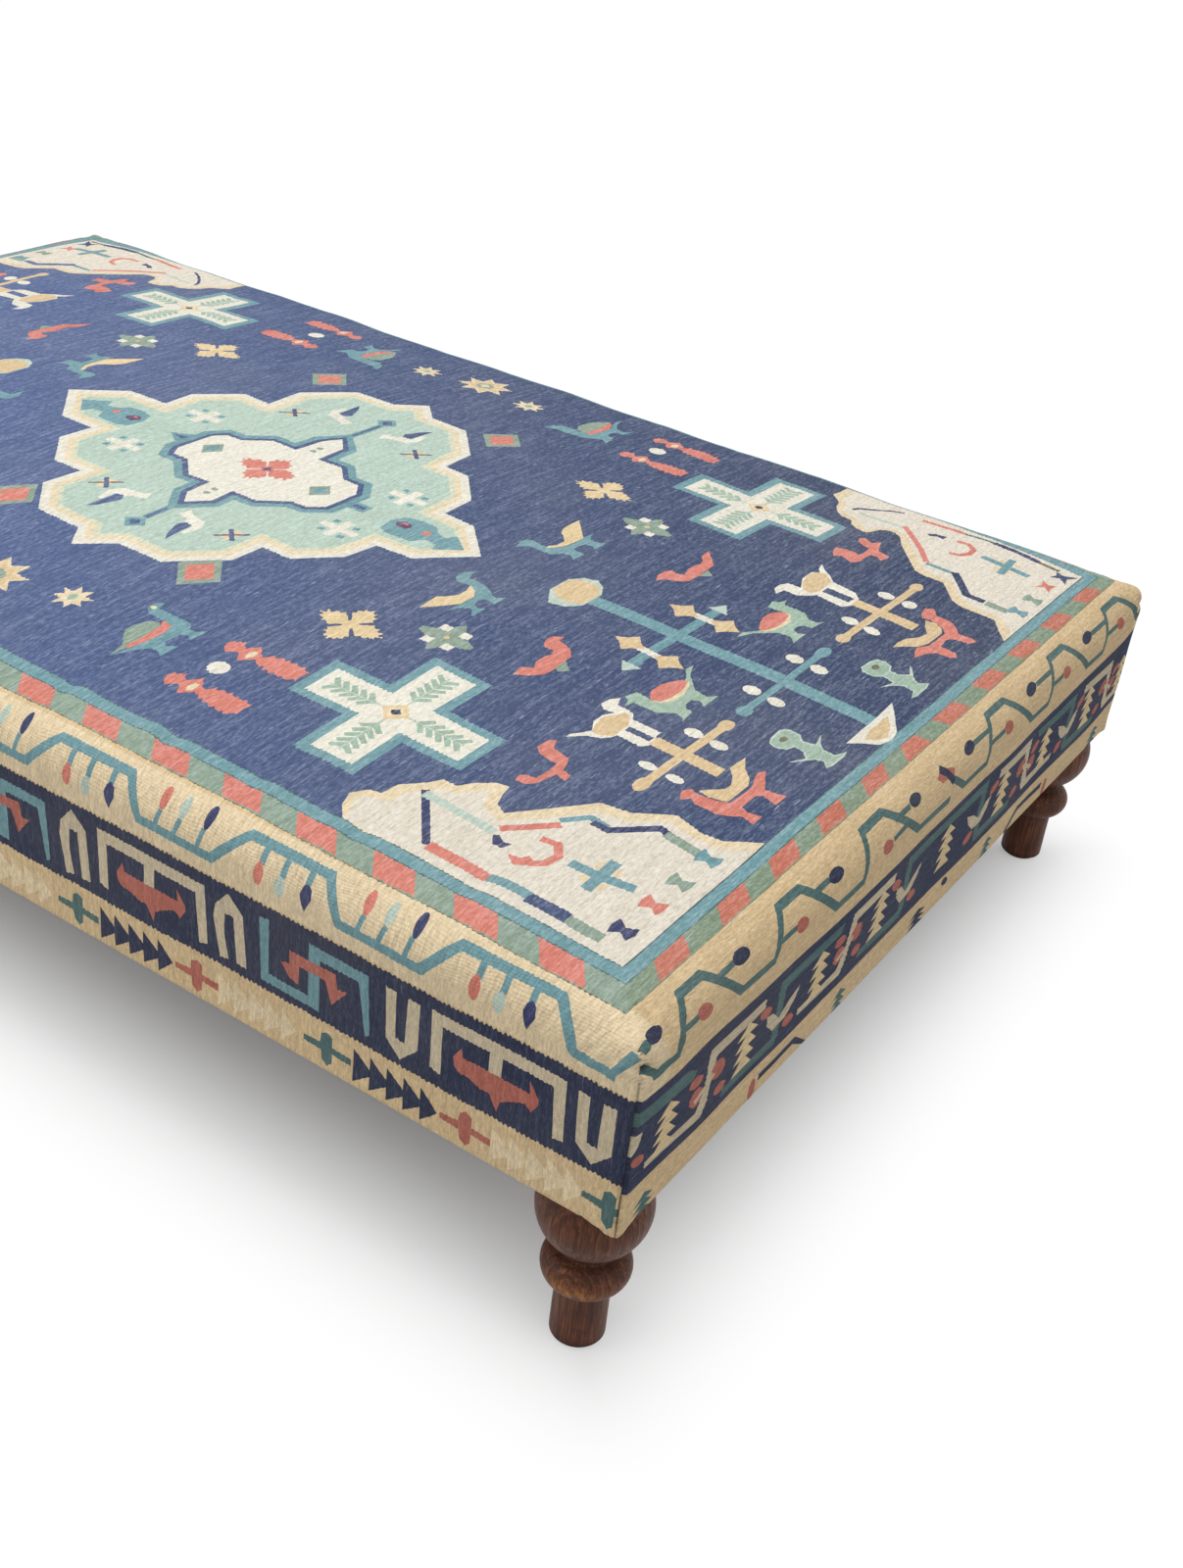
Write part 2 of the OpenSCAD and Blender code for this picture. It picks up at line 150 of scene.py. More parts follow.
def turned_leg(name, x, y, which):
    """The leg's outline carried round its axis: x + r(t) cos(a), y + r(t) sin(a), z(t), where t
    runs out across the foot, up the outline and in across the top."""
    z = np.linspace(felt_top, leg_height, 620)
    r = leg_radius(z)
    soft = np.exp(-0.5 * (np.arange(-8, 9) / 2.6) ** 2)
    inner = np.convolve(np.pad(r, 8, mode="edge"), soft / soft.sum(), "valid")
    r = np.where((z > 4.5) & (z < 150), inner, r)
    length = np.concatenate([[0], np.cumsum(np.hypot(np.diff(r), np.diff(z)))])
    t = np.linspace(0, length[-1], 190)
    r, z = np.interp(t, length, r), np.interp(t, length, z)
    r = np.concatenate([[0, r[0] * 0.5, r[0] * 0.97], r, [r[-1] * 0.97, r[-1] * 0.5, 0]])
    z = np.concatenate([[felt_top] * 3, z, [leg_height] * 3])
    around = 96
    a = np.linspace(0, 2 * np.pi, around + 1)[:-1]
    knife = 0.10 * np.sin(3 * a[None] + 0.11 * z[:, None]) * (r[:, None] > 10)
    reach = r[:, None] + knife
    place = np.stack([x + reach * np.cos(a), y + reach * np.sin(a), z[:, None] + 0 * a], -1)
    piece = new_piece(name, place.reshape(-1, 3) * MM, joined_rows(len(r), around))
    at = np.zeros(len(piece.data.vertices) * 3)
    piece.data.vertices.foreach_get("co", at)
    at = at.reshape(-1, 3) / MM - [x, y, 0]
    turn = np.radians([20, 276, 118, 310][which])
    pith, board_step = (46, 9), 260
    board = [at[:, 0] * np.cos(turn) - at[:, 1] * np.sin(turn) + pith[0],
             at[:, 0] * np.sin(turn) + at[:, 1] * np.cos(turn) + pith[1],
             at[:, 2] + board_step * which]
    mark(piece.data, "board", np.stack(board, -1) * MM)
    h = at[:, 2]
    # Painted shade: the grooves under the ball and the bead and the two ends of the leg are marked
    # here, to be darkened in the colour.
    crease = hump(h, 86.4, 3.0) + 0.8 * hump(h, 53.5, 2.6)
    crease += 0.7 * hump(h, 4, 3.0) + 0.6 * hump(h, 150, 5.0)
    mark(piece.data, "crease", np.clip(crease, 0, 1))
    aside = np.arctan2(at[:, 1], at[:, 0]) - np.radians([200, 286, 60, 130][which])
    mark(piece.data, "worn", 1.2 * hump(h, 67, 6) * np.exp(6.0 * (np.cos(aside) - 1)))
    return piece


def colour(r, g, b):
    """An sRGB colour from 0 to 255 as the light values that a socket takes."""
    c = np.array([r, g, b], float) / 255
    return (*np.where(c <= 0.04045, c / 12.92, ((c + 0.055) / 1.055) ** 2.4), 1.0)


def set_sockets(tree, made, values):
    """Gives each named socket of a node its value, or joins it to the socket that feeds it."""
    for key, value in values.items():
        if isinstance(value, bpy.types.NodeSocket):
            tree.links.new(value, made.inputs[key])
        else:
            made.inputs[key].default_value = value


def node(tree, kind, inputs=None, **settings):
    """A new node in a tree, with its settings and what its sockets take."""
    made = tree.nodes.new(kind)
    for key, value in settings.items():
        setattr(made, key, value)
    set_sockets(tree, made, inputs or {})
    return made


def maths(tree, what, a, b=None, c=None):
    """One arithmetic step on numbers or sockets."""
    given = {i: v for i, v in enumerate([a, b, c]) if v is not None}
    return node(tree, "ShaderNodeMath", given, operation=what).outputs[0]


def place_maths(tree, what, a, b=None):
    """One arithmetic step on places, part by part."""
    given = {i: v for i, v in enumerate([a, b]) if v is not None}
    return node(tree, "ShaderNodeVectorMath", given, operation=what).outputs[0]


def noise(tree, place, scale, detail, rough=0.5, out="Fac"):
    """Smooth noise with so many features in a metre."""
    given = {"Vector": place, "Scale": scale, "Detail": detail, "Roughness": rough}
    return node(tree, "ShaderNodeTexNoise", given).outputs[out]


def ranged(tree, value, low, high, to_low=0.0, to_high=1.0, **settings):
    """A value carried from one range to another, and held inside it."""
    given = {"Value": value, "From Min": low, "From Max": high, "To Min": to_low, "To Max": to_high}
    return node(tree, "ShaderNodeMapRange", given, **settings).outputs[0]


def here_in(tree):
    """The place on the piece, in metres."""
    return node(tree, "ShaderNodeTexCoord").outputs["Object"]


def marked(tree, label, out="Fac"):
    """What is stored with the mesh under a label."""
    return node(tree, "ShaderNodeAttribute", attribute_name=label).outputs[out]


def mixed(tree, share, a, b, blend="MIX"):
    """Colour a turned towards colour b by a share."""
    made = node(tree, "ShaderNodeMix", data_type="RGBA", blend_type=blend)
    set_sockets(tree, made, {0: share, 6: a, 7: b})
    return made.outputs[2]


def tinted(tree, shade, share, most, towards):
    """A shade turned towards a colour by a share of the most that it may."""
    return mixed(tree, maths(tree, "MULTIPLY", share, most), shade, towards)


def ramp(tree, value, *stops):
    """A colour ramp with (place, colour) stops."""
    made = node(tree, "ShaderNodeValToRGB", {"Fac": value})
    band = made.color_ramp
    while len(band.elements) < len(stops):
        band.elements.new(0.5)
    for element, (place, shade) in zip(band.elements, stops):
        element.position, element.color = place, shade
    return made.outputs["Color"]


def new_group(name, inputs, outputs):
    """A shader group with named sockets, of which Place is a place and the others are numbers:
    its tree, what comes in and where things go out."""
    tree = bpy.data.node_groups.new(name, "ShaderNodeTree")
    for way, labels in (("INPUT", inputs), ("OUTPUT", outputs)):
        for label in labels:
            kind = "NodeSocketVector" if label == "Place" else "NodeSocketFloat"
            tree.interface.new_socket(label, in_out=way, socket_type=kind)
    return tree, tree.nodes.new("NodeGroupInput").outputs, tree.nodes.new("NodeGroupOutput")


def new_material(name, base, rough, **sockets):
    """A material with one Principled shader: its tree and the shader."""
    made = bpy.data.materials.new(name)
    made.use_nodes = True
    shader = made.node_tree.nodes["Principled BSDF"]
    shader.inputs["Base Color"].default_value = base
    shader.inputs["Roughness"].default_value = rough
    for label, value in sockets.items():
        shader.inputs[label.replace("_", " ")].default_value = value
    return made, made.node_tree, shader


def bumped(tree, shader, height, distance, strength=1.0):
    """Lets a height in the material raise the surface by a distance in metres."""
    given = {"Height": height, "Distance": distance, "Strength": strength}
    set_sockets(tree, shader, {"Normal": node(tree, "ShaderNodeBump", given).outputs["Normal"]})


def use_group(tree, group, **inputs):
    """A group placed in a material with its own values."""
    made = tree.nodes.new("ShaderNodeGroup")
    made.node_tree = group
    set_sockets(tree, made, inputs)
    return made.outputs


# Growth rings are rounds about the pith, pushed about by a slow noise, so a ball shows ovals
# and a rail shows long lines. Fibres and pores are noise drawn out along the grain.
wood_grain, given, made = new_group(
    "wood_grain", ["Place", "Rings", "Waver"], ["Ring", "Fibre", "Pore", "Height"]
)
tree = wood_grain
drawn = place_maths(tree, "MULTIPLY", given["Place"], (1.0, 1.0, 0.22))
slow = place_maths(tree, "SUBTRACT", noise(tree, drawn, 16.0, 3.0, out="Color"), (0.5, 0.5, 0.5))
slow = node(tree, "ShaderNodeVectorMath", {0: slow, "Scale": given["Waver"]}, operation="SCALE")
pushed = place_maths(tree, "ADD", drawn, slow.outputs[0])
parts = node(tree, "ShaderNodeSeparateXYZ", {0: pushed}).outputs
across = maths(tree, "MULTIPLY", parts[0], parts[0])
across = maths(tree, "MULTIPLY_ADD", parts[1], parts[1], across)
year = maths(tree, "FRACT", maths(tree, "MULTIPLY", maths(tree, "SQRT", across), given["Rings"]))
early = maths(tree, "SMOOTH_MIN", maths(tree, "MULTIPLY", year, 9.0), 1.0, 0.3)
late = maths(tree, "MULTIPLY", maths(tree, "POWER", year, 2.2), 0.85)
ring = maths(tree, "MULTIPLY_ADD", maths(tree, "SUBTRACT", 1.0, early), 0.7, late)
thread = place_maths(tree, "MULTIPLY", given["Place"], (1.0, 1.0, 0.045))
fibre = noise(tree, thread, 620.0, 4.0)
pore = ranged(tree, noise(tree, thread, 1500.0, 1.0), 0.60, 0.72)
height = maths(tree, "MULTIPLY_ADD", fibre, 0.5, maths(tree, "MULTIPLY", pore, -0.8))
set_sockets(tree, made, {"Ring": ring, "Fibre": fibre, "Pore": pore, "Height": height})

walnut, tree, shader = new_material(
    "walnut_oiled", colour(88, 60, 48), 0.5,
    Coat_Weight=0.03, Coat_Roughness=0.3, Specular_IOR_Level=0.18,
)
board = marked(tree, "board", "Vector")
grain = use_group(tree, wood_grain, Place=board, Rings=150.0, Waver=0.034)
figure = maths(tree, "MULTIPLY", grain["Fibre"], 0.85)
figure = maths(tree, "MULTIPLY_ADD", grain["Ring"], 0.24, figure)
shade = ramp(
    tree, figure, (0.26, colour(148, 94, 64)), (0.44, colour(116, 69, 47)),
    (0.62, colour(84, 48, 33)), (0.85, colour(50, 28, 20)),
)
cloudy = ranged(tree, noise(tree, board, 48.0, 6.0, 0.7), 0.35, 0.68)
shade = tinted(tree, shade, cloudy, 0.75, colour(58, 32, 21))
patch = ranged(tree, noise(tree, board, 150.0, 4.0, 0.7), 0.36, 0.66)
amber = {0: marked(tree, "worn"), 1: patch}
amber = node(tree, "ShaderNodeMath", amber, operation="MULTIPLY", use_clamp=True).outputs[0]
shade = tinted(tree, shade, amber, 0.85, colour(196, 130, 70))
shade = tinted(tree, shade, ranged(tree, grain["Fibre"], 0.3, 0.7), 0.3, colour(44, 24, 15))
shade = tinted(tree, shade, grain["Pore"], 0.7, colour(26, 16, 13))
# Painted shade: the crease mark darkens the colour at the grooves and the ends of the leg, and makes
# them rougher.
crease = marked(tree, "crease")
shade = tinted(tree, shade, crease, 0.7, colour(20, 12, 11))
rough = maths(tree, "MULTIPLY_ADD", grain["Fibre"], 0.25, 0.36)
rough = maths(tree, "MULTIPLY_ADD", crease, 0.25, rough)
set_sockets(tree, shader, {"Base Color": shade, "Roughness": rough})
bumped(tree, shader, grain["Height"], 0.00026, 0.8)

for which, (end, side) in enumerate([(-1, -1), (1, -1), (-1, 1), (1, 1)]):
    label = f"leg_{'front' if side < 0 else 'back'}_{'left' if end < 0 else 'right'}"
    leg = turned_leg(f"turned_{label}", end * leg_x, side * leg_y, which)
    leg.data.materials.append(walnut)
    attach(leg, "root")
    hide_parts(label)


# What is under and inside a leg: a disc of wool felt glued to the foot, a hanger bolt up its
# axis, and the brass insert that the bolt screws into. These keep the shapes of the frame file.
def finish_nodes(made, *names):
    """Gives nodes of the frame file their own finish."""
    for name in names:
        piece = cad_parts[name]
        piece.data.materials.clear()
        piece.data.materials.append(made)


felt, tree, shader = new_material("wool_felt", colour(96, 86, 76), 0.95, Sheen_Weight=0.4)
here = here_in(tree)
hair = noise(tree, here, 1400.0, 5.0)
both = maths(tree, "MULTIPLY", hair, 0.5)
both = maths(tree, "MULTIPLY_ADD", noise(tree, here, 180.0, 3.0), 0.5, both)
shade = ramp(
    tree, both, (0.3, colour(66, 58, 52)), (0.5, colour(98, 88, 78)), (0.72, colour(132, 122, 108))
)
set_sockets(tree, shader, {"Base Color": shade})
bumped(tree, shader, hair, 0.0006)
finish_nodes(felt, "felt_pads")


def metal(name, base, dark, rough):
    """Drawn or turned metal: fine scratches round the part and dull patches."""
    made, tree, shader = new_material(name, base, rough, Metallic=1.0)
    here = here_in(tree)
    lines = noise(tree, place_maths(tree, "MULTIPLY", here, (1.0, 1.0, 9.0)), 420.0, 3.0)
    shade = mixed(tree, noise(tree, here, 120.0, 4.0), base, dark)
    rub = maths(tree, "MULTIPLY_ADD", lines, 0.3, rough - 0.1)
    set_sockets(tree, shader, {"Base Color": shade, "Roughness": rub})
    bumped(tree, shader, lines, 0.00008)
    return made


zinc = metal("zinc_plated_steel", colour(186, 190, 196), colour(140, 144, 150), 0.34)
brass = metal("turned_brass", colour(206, 170, 98), colour(160, 122, 66), 0.3)
finish_nodes(zinc, "hanger_bolts", "corner_screws")
finish_nodes(brass, "threaded_inserts")


# The frame. Rails of sawn beech are dowelled at the corners, two cross rails stiffen the middle,
# and a softwood block is screwed into each corner to take the leg.
def sawn_wood(name, pale, mid, late, grain_turn, rings):
    """Sawn and planed wood with its grain along one axis: grain_turn brings that axis to Z."""
    made, tree, shader = new_material(name, mid, 0.62)
    laid = {"Vector": here_in(tree), "Rotation": grain_turn, "Location": (0.09, 0.31, 0)}
    laid = node(tree, "ShaderNodeMapping", laid).outputs[0]
    grain = use_group(tree, wood_grain, Place=laid, Rings=rings, Waver=0.03)
    shade = ramp(tree, grain["Ring"], (0.0, pale), (0.5, mid), (1.0, late))
    shade = tinted(tree, shade, grain["Fibre"], 0.35, late)
    shade = tinted(tree, shade, grain["Pore"], 0.3, colour(120, 84, 52))
    rough = maths(tree, "MULTIPLY_ADD", grain["Fibre"], 0.25, 0.5)
    set_sockets(tree, shader, {"Base Color": shade, "Roughness": rough})
    bumped(tree, shader, grain["Height"], 0.0003)
    return made


beech = [colour(222, 190, 146), colour(206, 170, 124), colour(178, 138, 94)]
pine = [colour(226, 198, 150), colour(212, 178, 122), colour(180, 132, 78)]
birch = [colour(232, 208, 168), colour(220, 192, 148), colour(196, 164, 118)]
along_x, along_y, along_z = (0, np.pi / 2, 0), (np.pi / 2, 0, 0), (0, 0, 0)
beech_long = sawn_wood("beech_along_x", *beech, along_x, rings=330.0)
beech_across = sawn_wood("beech_along_y", *beech, along_y, rings=330.0)
pine_block = sawn_wood("pine_block", *pine, along_z, rings=230.0)
birch_dowel = sawn_wood("birch_dowel", *birch, along_y, rings=420.0)
finish_nodes(beech_long, "front_rail", "back_rail")
finish_nodes(beech_across, "left_rail", "right_rail", "cross_rail_left", "cross_rail_right")
for label in ("front_left", "front_right", "back_left", "back_right"):
    finish_nodes(pine_block, "corner_block_" + label)
finish_nodes(birch_dowel, "rail_dowels")


# The deck. Jute straps are woven over and under one another across the frame and tacked to its
# top, and a sheet of hessian is stretched over them so that the foam can't press through.
plain_weave, given, made = new_group(
    "plain_weave", ["Place", "Threads", "Slub"], ["Gap", "Height"]
)
tree = plain_weave
wander = maths(tree, "MULTIPLY", noise(tree, given["Place"], 90.0, 2.0), given["Slub"])
parts = node(tree, "ShaderNodeSeparateXYZ", {0: given["Place"]}).outputs
along, across = (maths(tree, "MULTIPLY_ADD", part, given["Threads"], wander) for part in parts[:2])
warp, weft = (
    maths(tree, "ABSOLUTE", maths(tree, "SINE", maths(tree, "MULTIPLY", way, np.pi)))
    for way in (along, across)
)
cell = maths(tree, "ADD", maths(tree, "FLOOR", along), maths(tree, "FLOOR", across))
cell = maths(tree, "MODULO", maths(tree, "ABSOLUTE", cell), 2.0)
over = maths(tree, "GREATER_THAN", cell, 0.5)
top = node(tree, "ShaderNodeMix", {0: over, 2: warp, 3: weft}).outputs[0]
low = maths(tree, "MULTIPLY", warp, weft)
high = maths(tree, "MULTIPLY_ADD", low, 0.6, maths(tree, "MULTIPLY", top, 0.4))
set_sockets(tree, made, {"Gap": ranged(tree, low, 0.0, 0.25, 1.0, 0.0), "Height": high})


def woven_cloth(name, light, dark, gap, threads, slub, depth):
    """Plain cloth of one yarn: so many threads to a metre, with slubs and small dark gaps."""
    made, tree, shader = new_material(name, light, 0.9, Sheen_Weight=0.15)
    place = here_in(tree)
    weave = use_group(tree, plain_weave, Place=place, Threads=threads, Slub=slub)
    shade = mixed(tree, noise(tree, place, threads * 0.55, 4.0), light, dark)
    shade = tinted(tree, shade, weave["Gap"], 0.7, gap)
    set_sockets(tree, shader, {"Base Color": shade})
    bumped(tree, shader, weave["Height"], depth)
    return made


jute_strap = woven_cloth(
    "jute_strap", colour(196, 160, 106), colour(158, 120, 72), colour(86, 62, 36),
    threads=420.0, slub=0.5, depth=0.0008,
)
finish_nodes(jute_strap, "webbing_lengthwise", "webbing_crosswise")


def rounded_ring(a, b, r, t):
    """Points on a rounded oblong with half sides a and b and corner radius r, at shares t of its
    way round: straight along a side, then round a corner by the angle length over r."""
    a, b, r = (
        np.broadcast_to(np.asarray(k, float)[..., None], np.shape(a) + t.shape) for k in (a, b, r)
    )
    r = np.maximum(r, 1e-6)
    side_x, side_y, bend = a - r, b - r, r * np.pi / 2
    quarter = np.floor(t * 4)
    part = t * 4 - quarter
    swap = quarter % 2 == 1
    first, second = np.where(swap, side_x, side_y), np.where(swap, side_y, side_x)
    walk = part * (first + bend + second)
    phi = np.clip((walk - first) / r, 0, np.pi / 2)
    after = np.maximum(0, walk - first - bend)
    out = second + r * np.cos(phi) - after
    up = np.minimum(walk, first) + r * np.sin(phi)
    cos, sin = np.cos(quarter * np.pi / 2), np.sin(quarter * np.pi / 2)
    return out * cos - up * sin, out * sin + up * cos


def stretched_sheet(name, half_x, half_y, z, thick, radius, sag):
    """A thin cloth pulled flat: rings of a rounded oblong drawn in to the middle, top and under
    side, with z lowered between the straps by a small even wave."""
    strap_x, strap_y, rail, around = 57, 59, 30, 240
    share = np.concatenate([[0.0], np.linspace(0.02, 1, 30), np.linspace(1, 0.02, 30), [0.0]])
    t = np.arange(around) / around
    x, y = rounded_ring(half_x * share, half_y * share, radius * share, t)
    wave = sag * np.sin(x / strap_x * np.pi) * np.sin(y / strap_y * np.pi)
    wave = wave * (np.abs(x) < half_x - rail) * (np.abs(y) < half_y - rail)
    level = np.where(np.arange(len(share)) < 31, z, z + thick)[:, None]
    place = np.stack([x, y, level + wave], -1)
    return new_piece(name, place.reshape(-1, 3) * MM, joined_rows(len(share), around)[:, ::-1])


hessian = stretched_sheet("hessian_sheet", 701.6, 439.1, z=235.45, thick=0.9, radius=6, sag=0.25)
hessian.data.materials.append(woven_cloth(
    "hessian", colour(204, 172, 122), colour(170, 136, 88), colour(70, 52, 32),
    threads=520.0, slub=0.9, depth=0.0007,
))
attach(hessian, "root")
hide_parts("hessian_deck")


# The filling. A slab of firm foam has its top edges rounded over, polyester wadding softens it,
# and a calico lining is pulled over both and tacked under the rails. All three are crowned.
length, width, overall, crown = 712.5, 450.0, 332.52, 19.0
roll_r = 36.0
roll_turn = np.pi / 2 - np.arctan(4 * crown / (2 * width))
roll_inset = roll_r * (1 - np.cos(roll_turn))
flat_x, flat_y = length - roll_inset, width - roll_inset
base_z = overall - crown - roll_r * np.sin(roll_turn)
roll_length = roll_r * roll_turn
side_r, plan_r, lining_low, around = 14.0, 34.0, 152.0, 320


def crown_rise(x, y):
    """The crown's height at a place: it falls off as the square of the share of each half side."""
    u, v = np.minimum(1, np.abs(x) / flat_x), np.minimum(1, np.abs(y) / flat_y)
    return crown * (1 - u * u) * (1 - v * v)


def filled_shape(inset, low):
    """Rings of a padded body that lies this far inside the cover: up the side, over the roll,
    then in to a ridge. Each ring gives half sides, height and corner radius."""
    turn = np.linspace(0, roll_turn, 12)[:-1]
    share = np.linspace(0, 1, 26)
    roll = roll_r - inset
    rise = np.linspace(low, base_z, 10)[:-1]
    inward = np.concatenate([
        np.full(len(rise), inset),
        inset + roll * (1 - np.cos(turn)),
        roll_inset + flat_y * share,
    ])
    z = np.concatenate([
        rise,
        base_z + roll * np.sin(turn),
        np.full(len(share), base_z + roll * np.sin(roll_turn)),
    ])
    r = np.concatenate([
        np.full(len(rise), side_r - inset),
        side_r - inset + (plan_r - side_r) * turn / roll_turn,
        np.minimum(plan_r - inset + 190 * share, 0.85 * flat_y * (1 - share)),
    ])
    t = np.arange(around) / around
    x, y = rounded_ring(length - inward, width - inward, r, t)
    return np.stack([x, y, z[:, None] + crown_rise(x, y)], -1)


def ringed_piece(name, rings):
    """A piece whose surface runs from ring to ring, in mm."""
    return new_piece(name, rings.reshape(-1, 3) * MM, joined_rows(*rings.shape[:2]))


def padded_body(name, inset, low):
    """A closed body between its crowned surface and a flat underside."""
    shell = filled_shape(inset, low)
    under = shell[0] * np.linspace(0, 1, 12)[:, None, None]
    under[:, :, 2] = low
    return ringed_piece(name, np.concatenate([under[:-1], shell]))


def padded_shell(name, inset, thick, low):
    """A layer of one thickness: its outer surface and its inner one joined at the lower rim."""
    outer, inner = filled_shape(inset, low), filled_shape(inset + thick, low)
    return ringed_piece(name, np.concatenate([inner[::-1], outer]))


def soft_material(name, light, dark, cells, depth, sheen):
    """Foam or fibre: open cells or crossing hairs, so many to a metre, with a slow change of
    tone."""
    made, tree, shader = new_material(name, light, 0.95, Sheen_Weight=sheen)
    here = here_in(tree)
    cell = node(tree, "ShaderNodeTexVoronoi", {"Vector": here, "Scale": cells}).outputs["Distance"]
    shade = mixed(tree, cell, dark, light)
    shade = tinted(tree, shade, noise(tree, here, 14.0, 4.0), 0.5, dark)
    set_sockets(tree, shader, {"Base Color": shade})
    bumped(tree, shader, cell, depth)
    return made


foam = padded_body("foam_slab", inset=10.9, low=236.75)
foam.data.materials.append(soft_material(
    "cut_foam", colour(240, 230, 196), colour(214, 198, 150), cells=900.0, depth=0.0008, sheen=0.0
))
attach(foam, "root")
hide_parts("foam_pad")

wadding = padded_shell("wadding_layer", inset=4.6, thick=6.0, low=lining_low)
wadding.data.materials.append(soft_material(
    "polyester_wadding", colour(246, 245, 240), colour(222, 222, 216),
    cells=420.0, depth=0.0012, sheen=0.5,
))
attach(wadding, "root")
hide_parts("fibre_wadding")

calico = padded_shell("calico_cover", inset=3.3, thick=1.0, low=lining_low)
calico.data.materials.append(woven_cloth(
    "calico", colour(232, 222, 200), colour(214, 202, 176), colour(170, 156, 128),
    threads=1300.0, slub=0.4, depth=0.0003,
))
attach(calico, "root")
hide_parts("calico_lining")


# The kilim. An old flat-woven wool rug is pulled over the lining, drawn down over the rolled
# edge, sewn up at the corners and turned under the rails. First, where its cloth lies.
fold_r = 3.0
fold_s = roll_length + base_z - leg_height
bottom_s = fold_s + fold_r * np.pi / 2
hem_wide, leg_hole, leg_inset = 34.0, 35.1, length - leg_x
hem_s = bottom_s + hem_wide - fold_r
seam_r, low_r = 7.0, 6.0
gather_x, gather_y = 560.0, 330.0


def cover_ring(s):
    """The ring of the cover at a distance s past the inner edge of the roll: how far its sides
    lie inside the outline, its height and its corner radius. It is flat inside the roll, then
    a round of 36 mm, then upright, then a 3 mm fold and the hem underneath. The corners are
    round at the top and sharpen on their way down, as the seam pulls them."""
    turn = roll_turn - np.clip(s, 0, roll_length) / roll_r
    fold = np.clip((s - fold_s) / fold_r, 0, np.pi / 2)
    inset = np.where(s < 0, roll_inset - s, roll_r * (1 - np.cos(turn)))
    inset = inset + fold_r * (1 - np.cos(fold)) + np.maximum(0, s - bottom_s)
    z = np.where(s < roll_length, base_z + roll_r * np.sin(turn), base_z - (s - roll_length))
    z = np.where(s > fold_s, leg_height - fold_r * np.sin(fold), z)
    inner = np.clip((s + 4) / 34, 0, 1)
    inner = inner * inner * (3 - 2 * inner)
    down = np.clip((s - roll_length) / (fold_s - roll_length), 0, 1)
    r = side_r * inner - (side_r - seam_r) * np.clip(s / roll_length, 0, 1)
    r = r - (seam_r - low_r) * down
    r = np.where(s > fold_s, np.maximum(0, low_r - inset), r)
    return inset, z, np.maximum(r, 1e-4)


def cover_place(u, v):
    """Where a place of the flat cloth lies on the ottoman, in mm. The farther of its two
    distances past the roll picks the ring, and the other coordinate walks along that ring's
    side and half way round its corner, a little gathered towards the corners."""
    past_x, past_y = np.abs(u) - flat_x, np.abs(v) - flat_y
    on_long = past_y >= past_x
    s = np.maximum(past_x, past_y)
    inset, z, r = cover_ring(s)
    a, b = length - inset - r, width - inset - r
    main, other = np.where(on_long, a, b), np.where(on_long, b, a)
    q = np.where(on_long, np.abs(u), np.abs(v))
    start = np.where(on_long, gather_x, gather_y)
    end = np.where(on_long, flat_x, flat_y) + np.minimum(s, roll_length)
    reach = main + r * np.pi / 4
    w = np.where(q > start, start + (q - start) * (reach - start) / (end - start), q)
    w = np.where(end > start, w, q)
    phi = np.maximum(0, w - main) / r
    go = np.where(w > main, main + r * np.sin(phi), w)
    out = other + r * np.where(w > main, np.cos(phi), 1)
    x, y = np.where(on_long, go, out), np.where(on_long, out, go)
    z = z + np.where(s < 0, crown_rise(x, y), 0)
    return np.stack([np.sign(u) * x, np.sign(v) * y, z], -1), s, reach - w, on_long


def on_side(w, s, long):
    """The place of the flat cloth that ends up at w along a side and s past the roll's edge."""
    inset, z, r = cover_ring(s)
    start = gather_x if long else gather_y
    reach = (length if long else width) - inset - r + r * np.pi / 4
    end = (flat_x if long else flat_y) + np.minimum(s, roll_length)
    q = start + (np.abs(w) - start) * (end - start) / (reach - start)
    q = np.where(np.abs(w) > start, q, np.abs(w))
    return np.sign(w) * q, (flat_y if long else flat_x) + s


# The pattern. Each woven shape is drawn on the flat cloth in mm from the middle, later ones over
# earlier ones. A drawing is a row of shapes: each has its dye, its kind and its numbers.
dyes = {
    "field": (76, 92, 132), "night": (44, 51, 77), "ink": (60, 66, 104),
    "plum": (104, 72, 104), "teal": (112, 153, 161), "deep": (80, 110, 109),
    "sea": (179, 200, 187), "mist": (186, 202, 190), "green": (140, 159, 143),
    "moss": (128, 146, 124), "sage": (158, 182, 164), "olive": (110, 108, 84),
    "coral": (211, 128, 113), "rust": (180, 106, 92), "brick": (194, 116, 96),
    "sand": (216, 190, 148), "straw": (224, 200, 156), "fawn": (206, 191, 163),
    "oat": (228, 208, 172), "rim": (226, 208, 174), "haze": (214, 214, 188),
    "cream": (228, 224, 210), "ivory": (222, 214, 199),
}
woven = []
far_drop = 28


def grown(outline, by):
    """An outline moved outwards by a distance, each corner to where its two moved edges meet."""
    edge = np.roll(outline, -1, 0) - outline
    edge /= np.maximum(np.hypot(*edge.T), 1e-6)[:, None]
    x, y = outline.T
    area = np.sum(x * np.roll(y, -1) - np.roll(x, -1) * y)
    out = np.stack([edge[:, 1], -edge[:, 0]], -1) * np.sign(area)
    before = np.roll(out, 1, 0)
    share = 1 + np.sum(out * before, -1, keepdims=True)
    return outline + by * (out + before) / np.maximum(share, 0.8)


def drawn_patch(*points):
    """A closed shape through these points."""
    return np.reshape(points, (-1, 2))


def drawn_block(x0, y0, x1, y1):
    """An upright oblong between two opposite corners."""
    return np.array([(x0, y0), (x1, y0), (x1, y1), (x0, y1)])


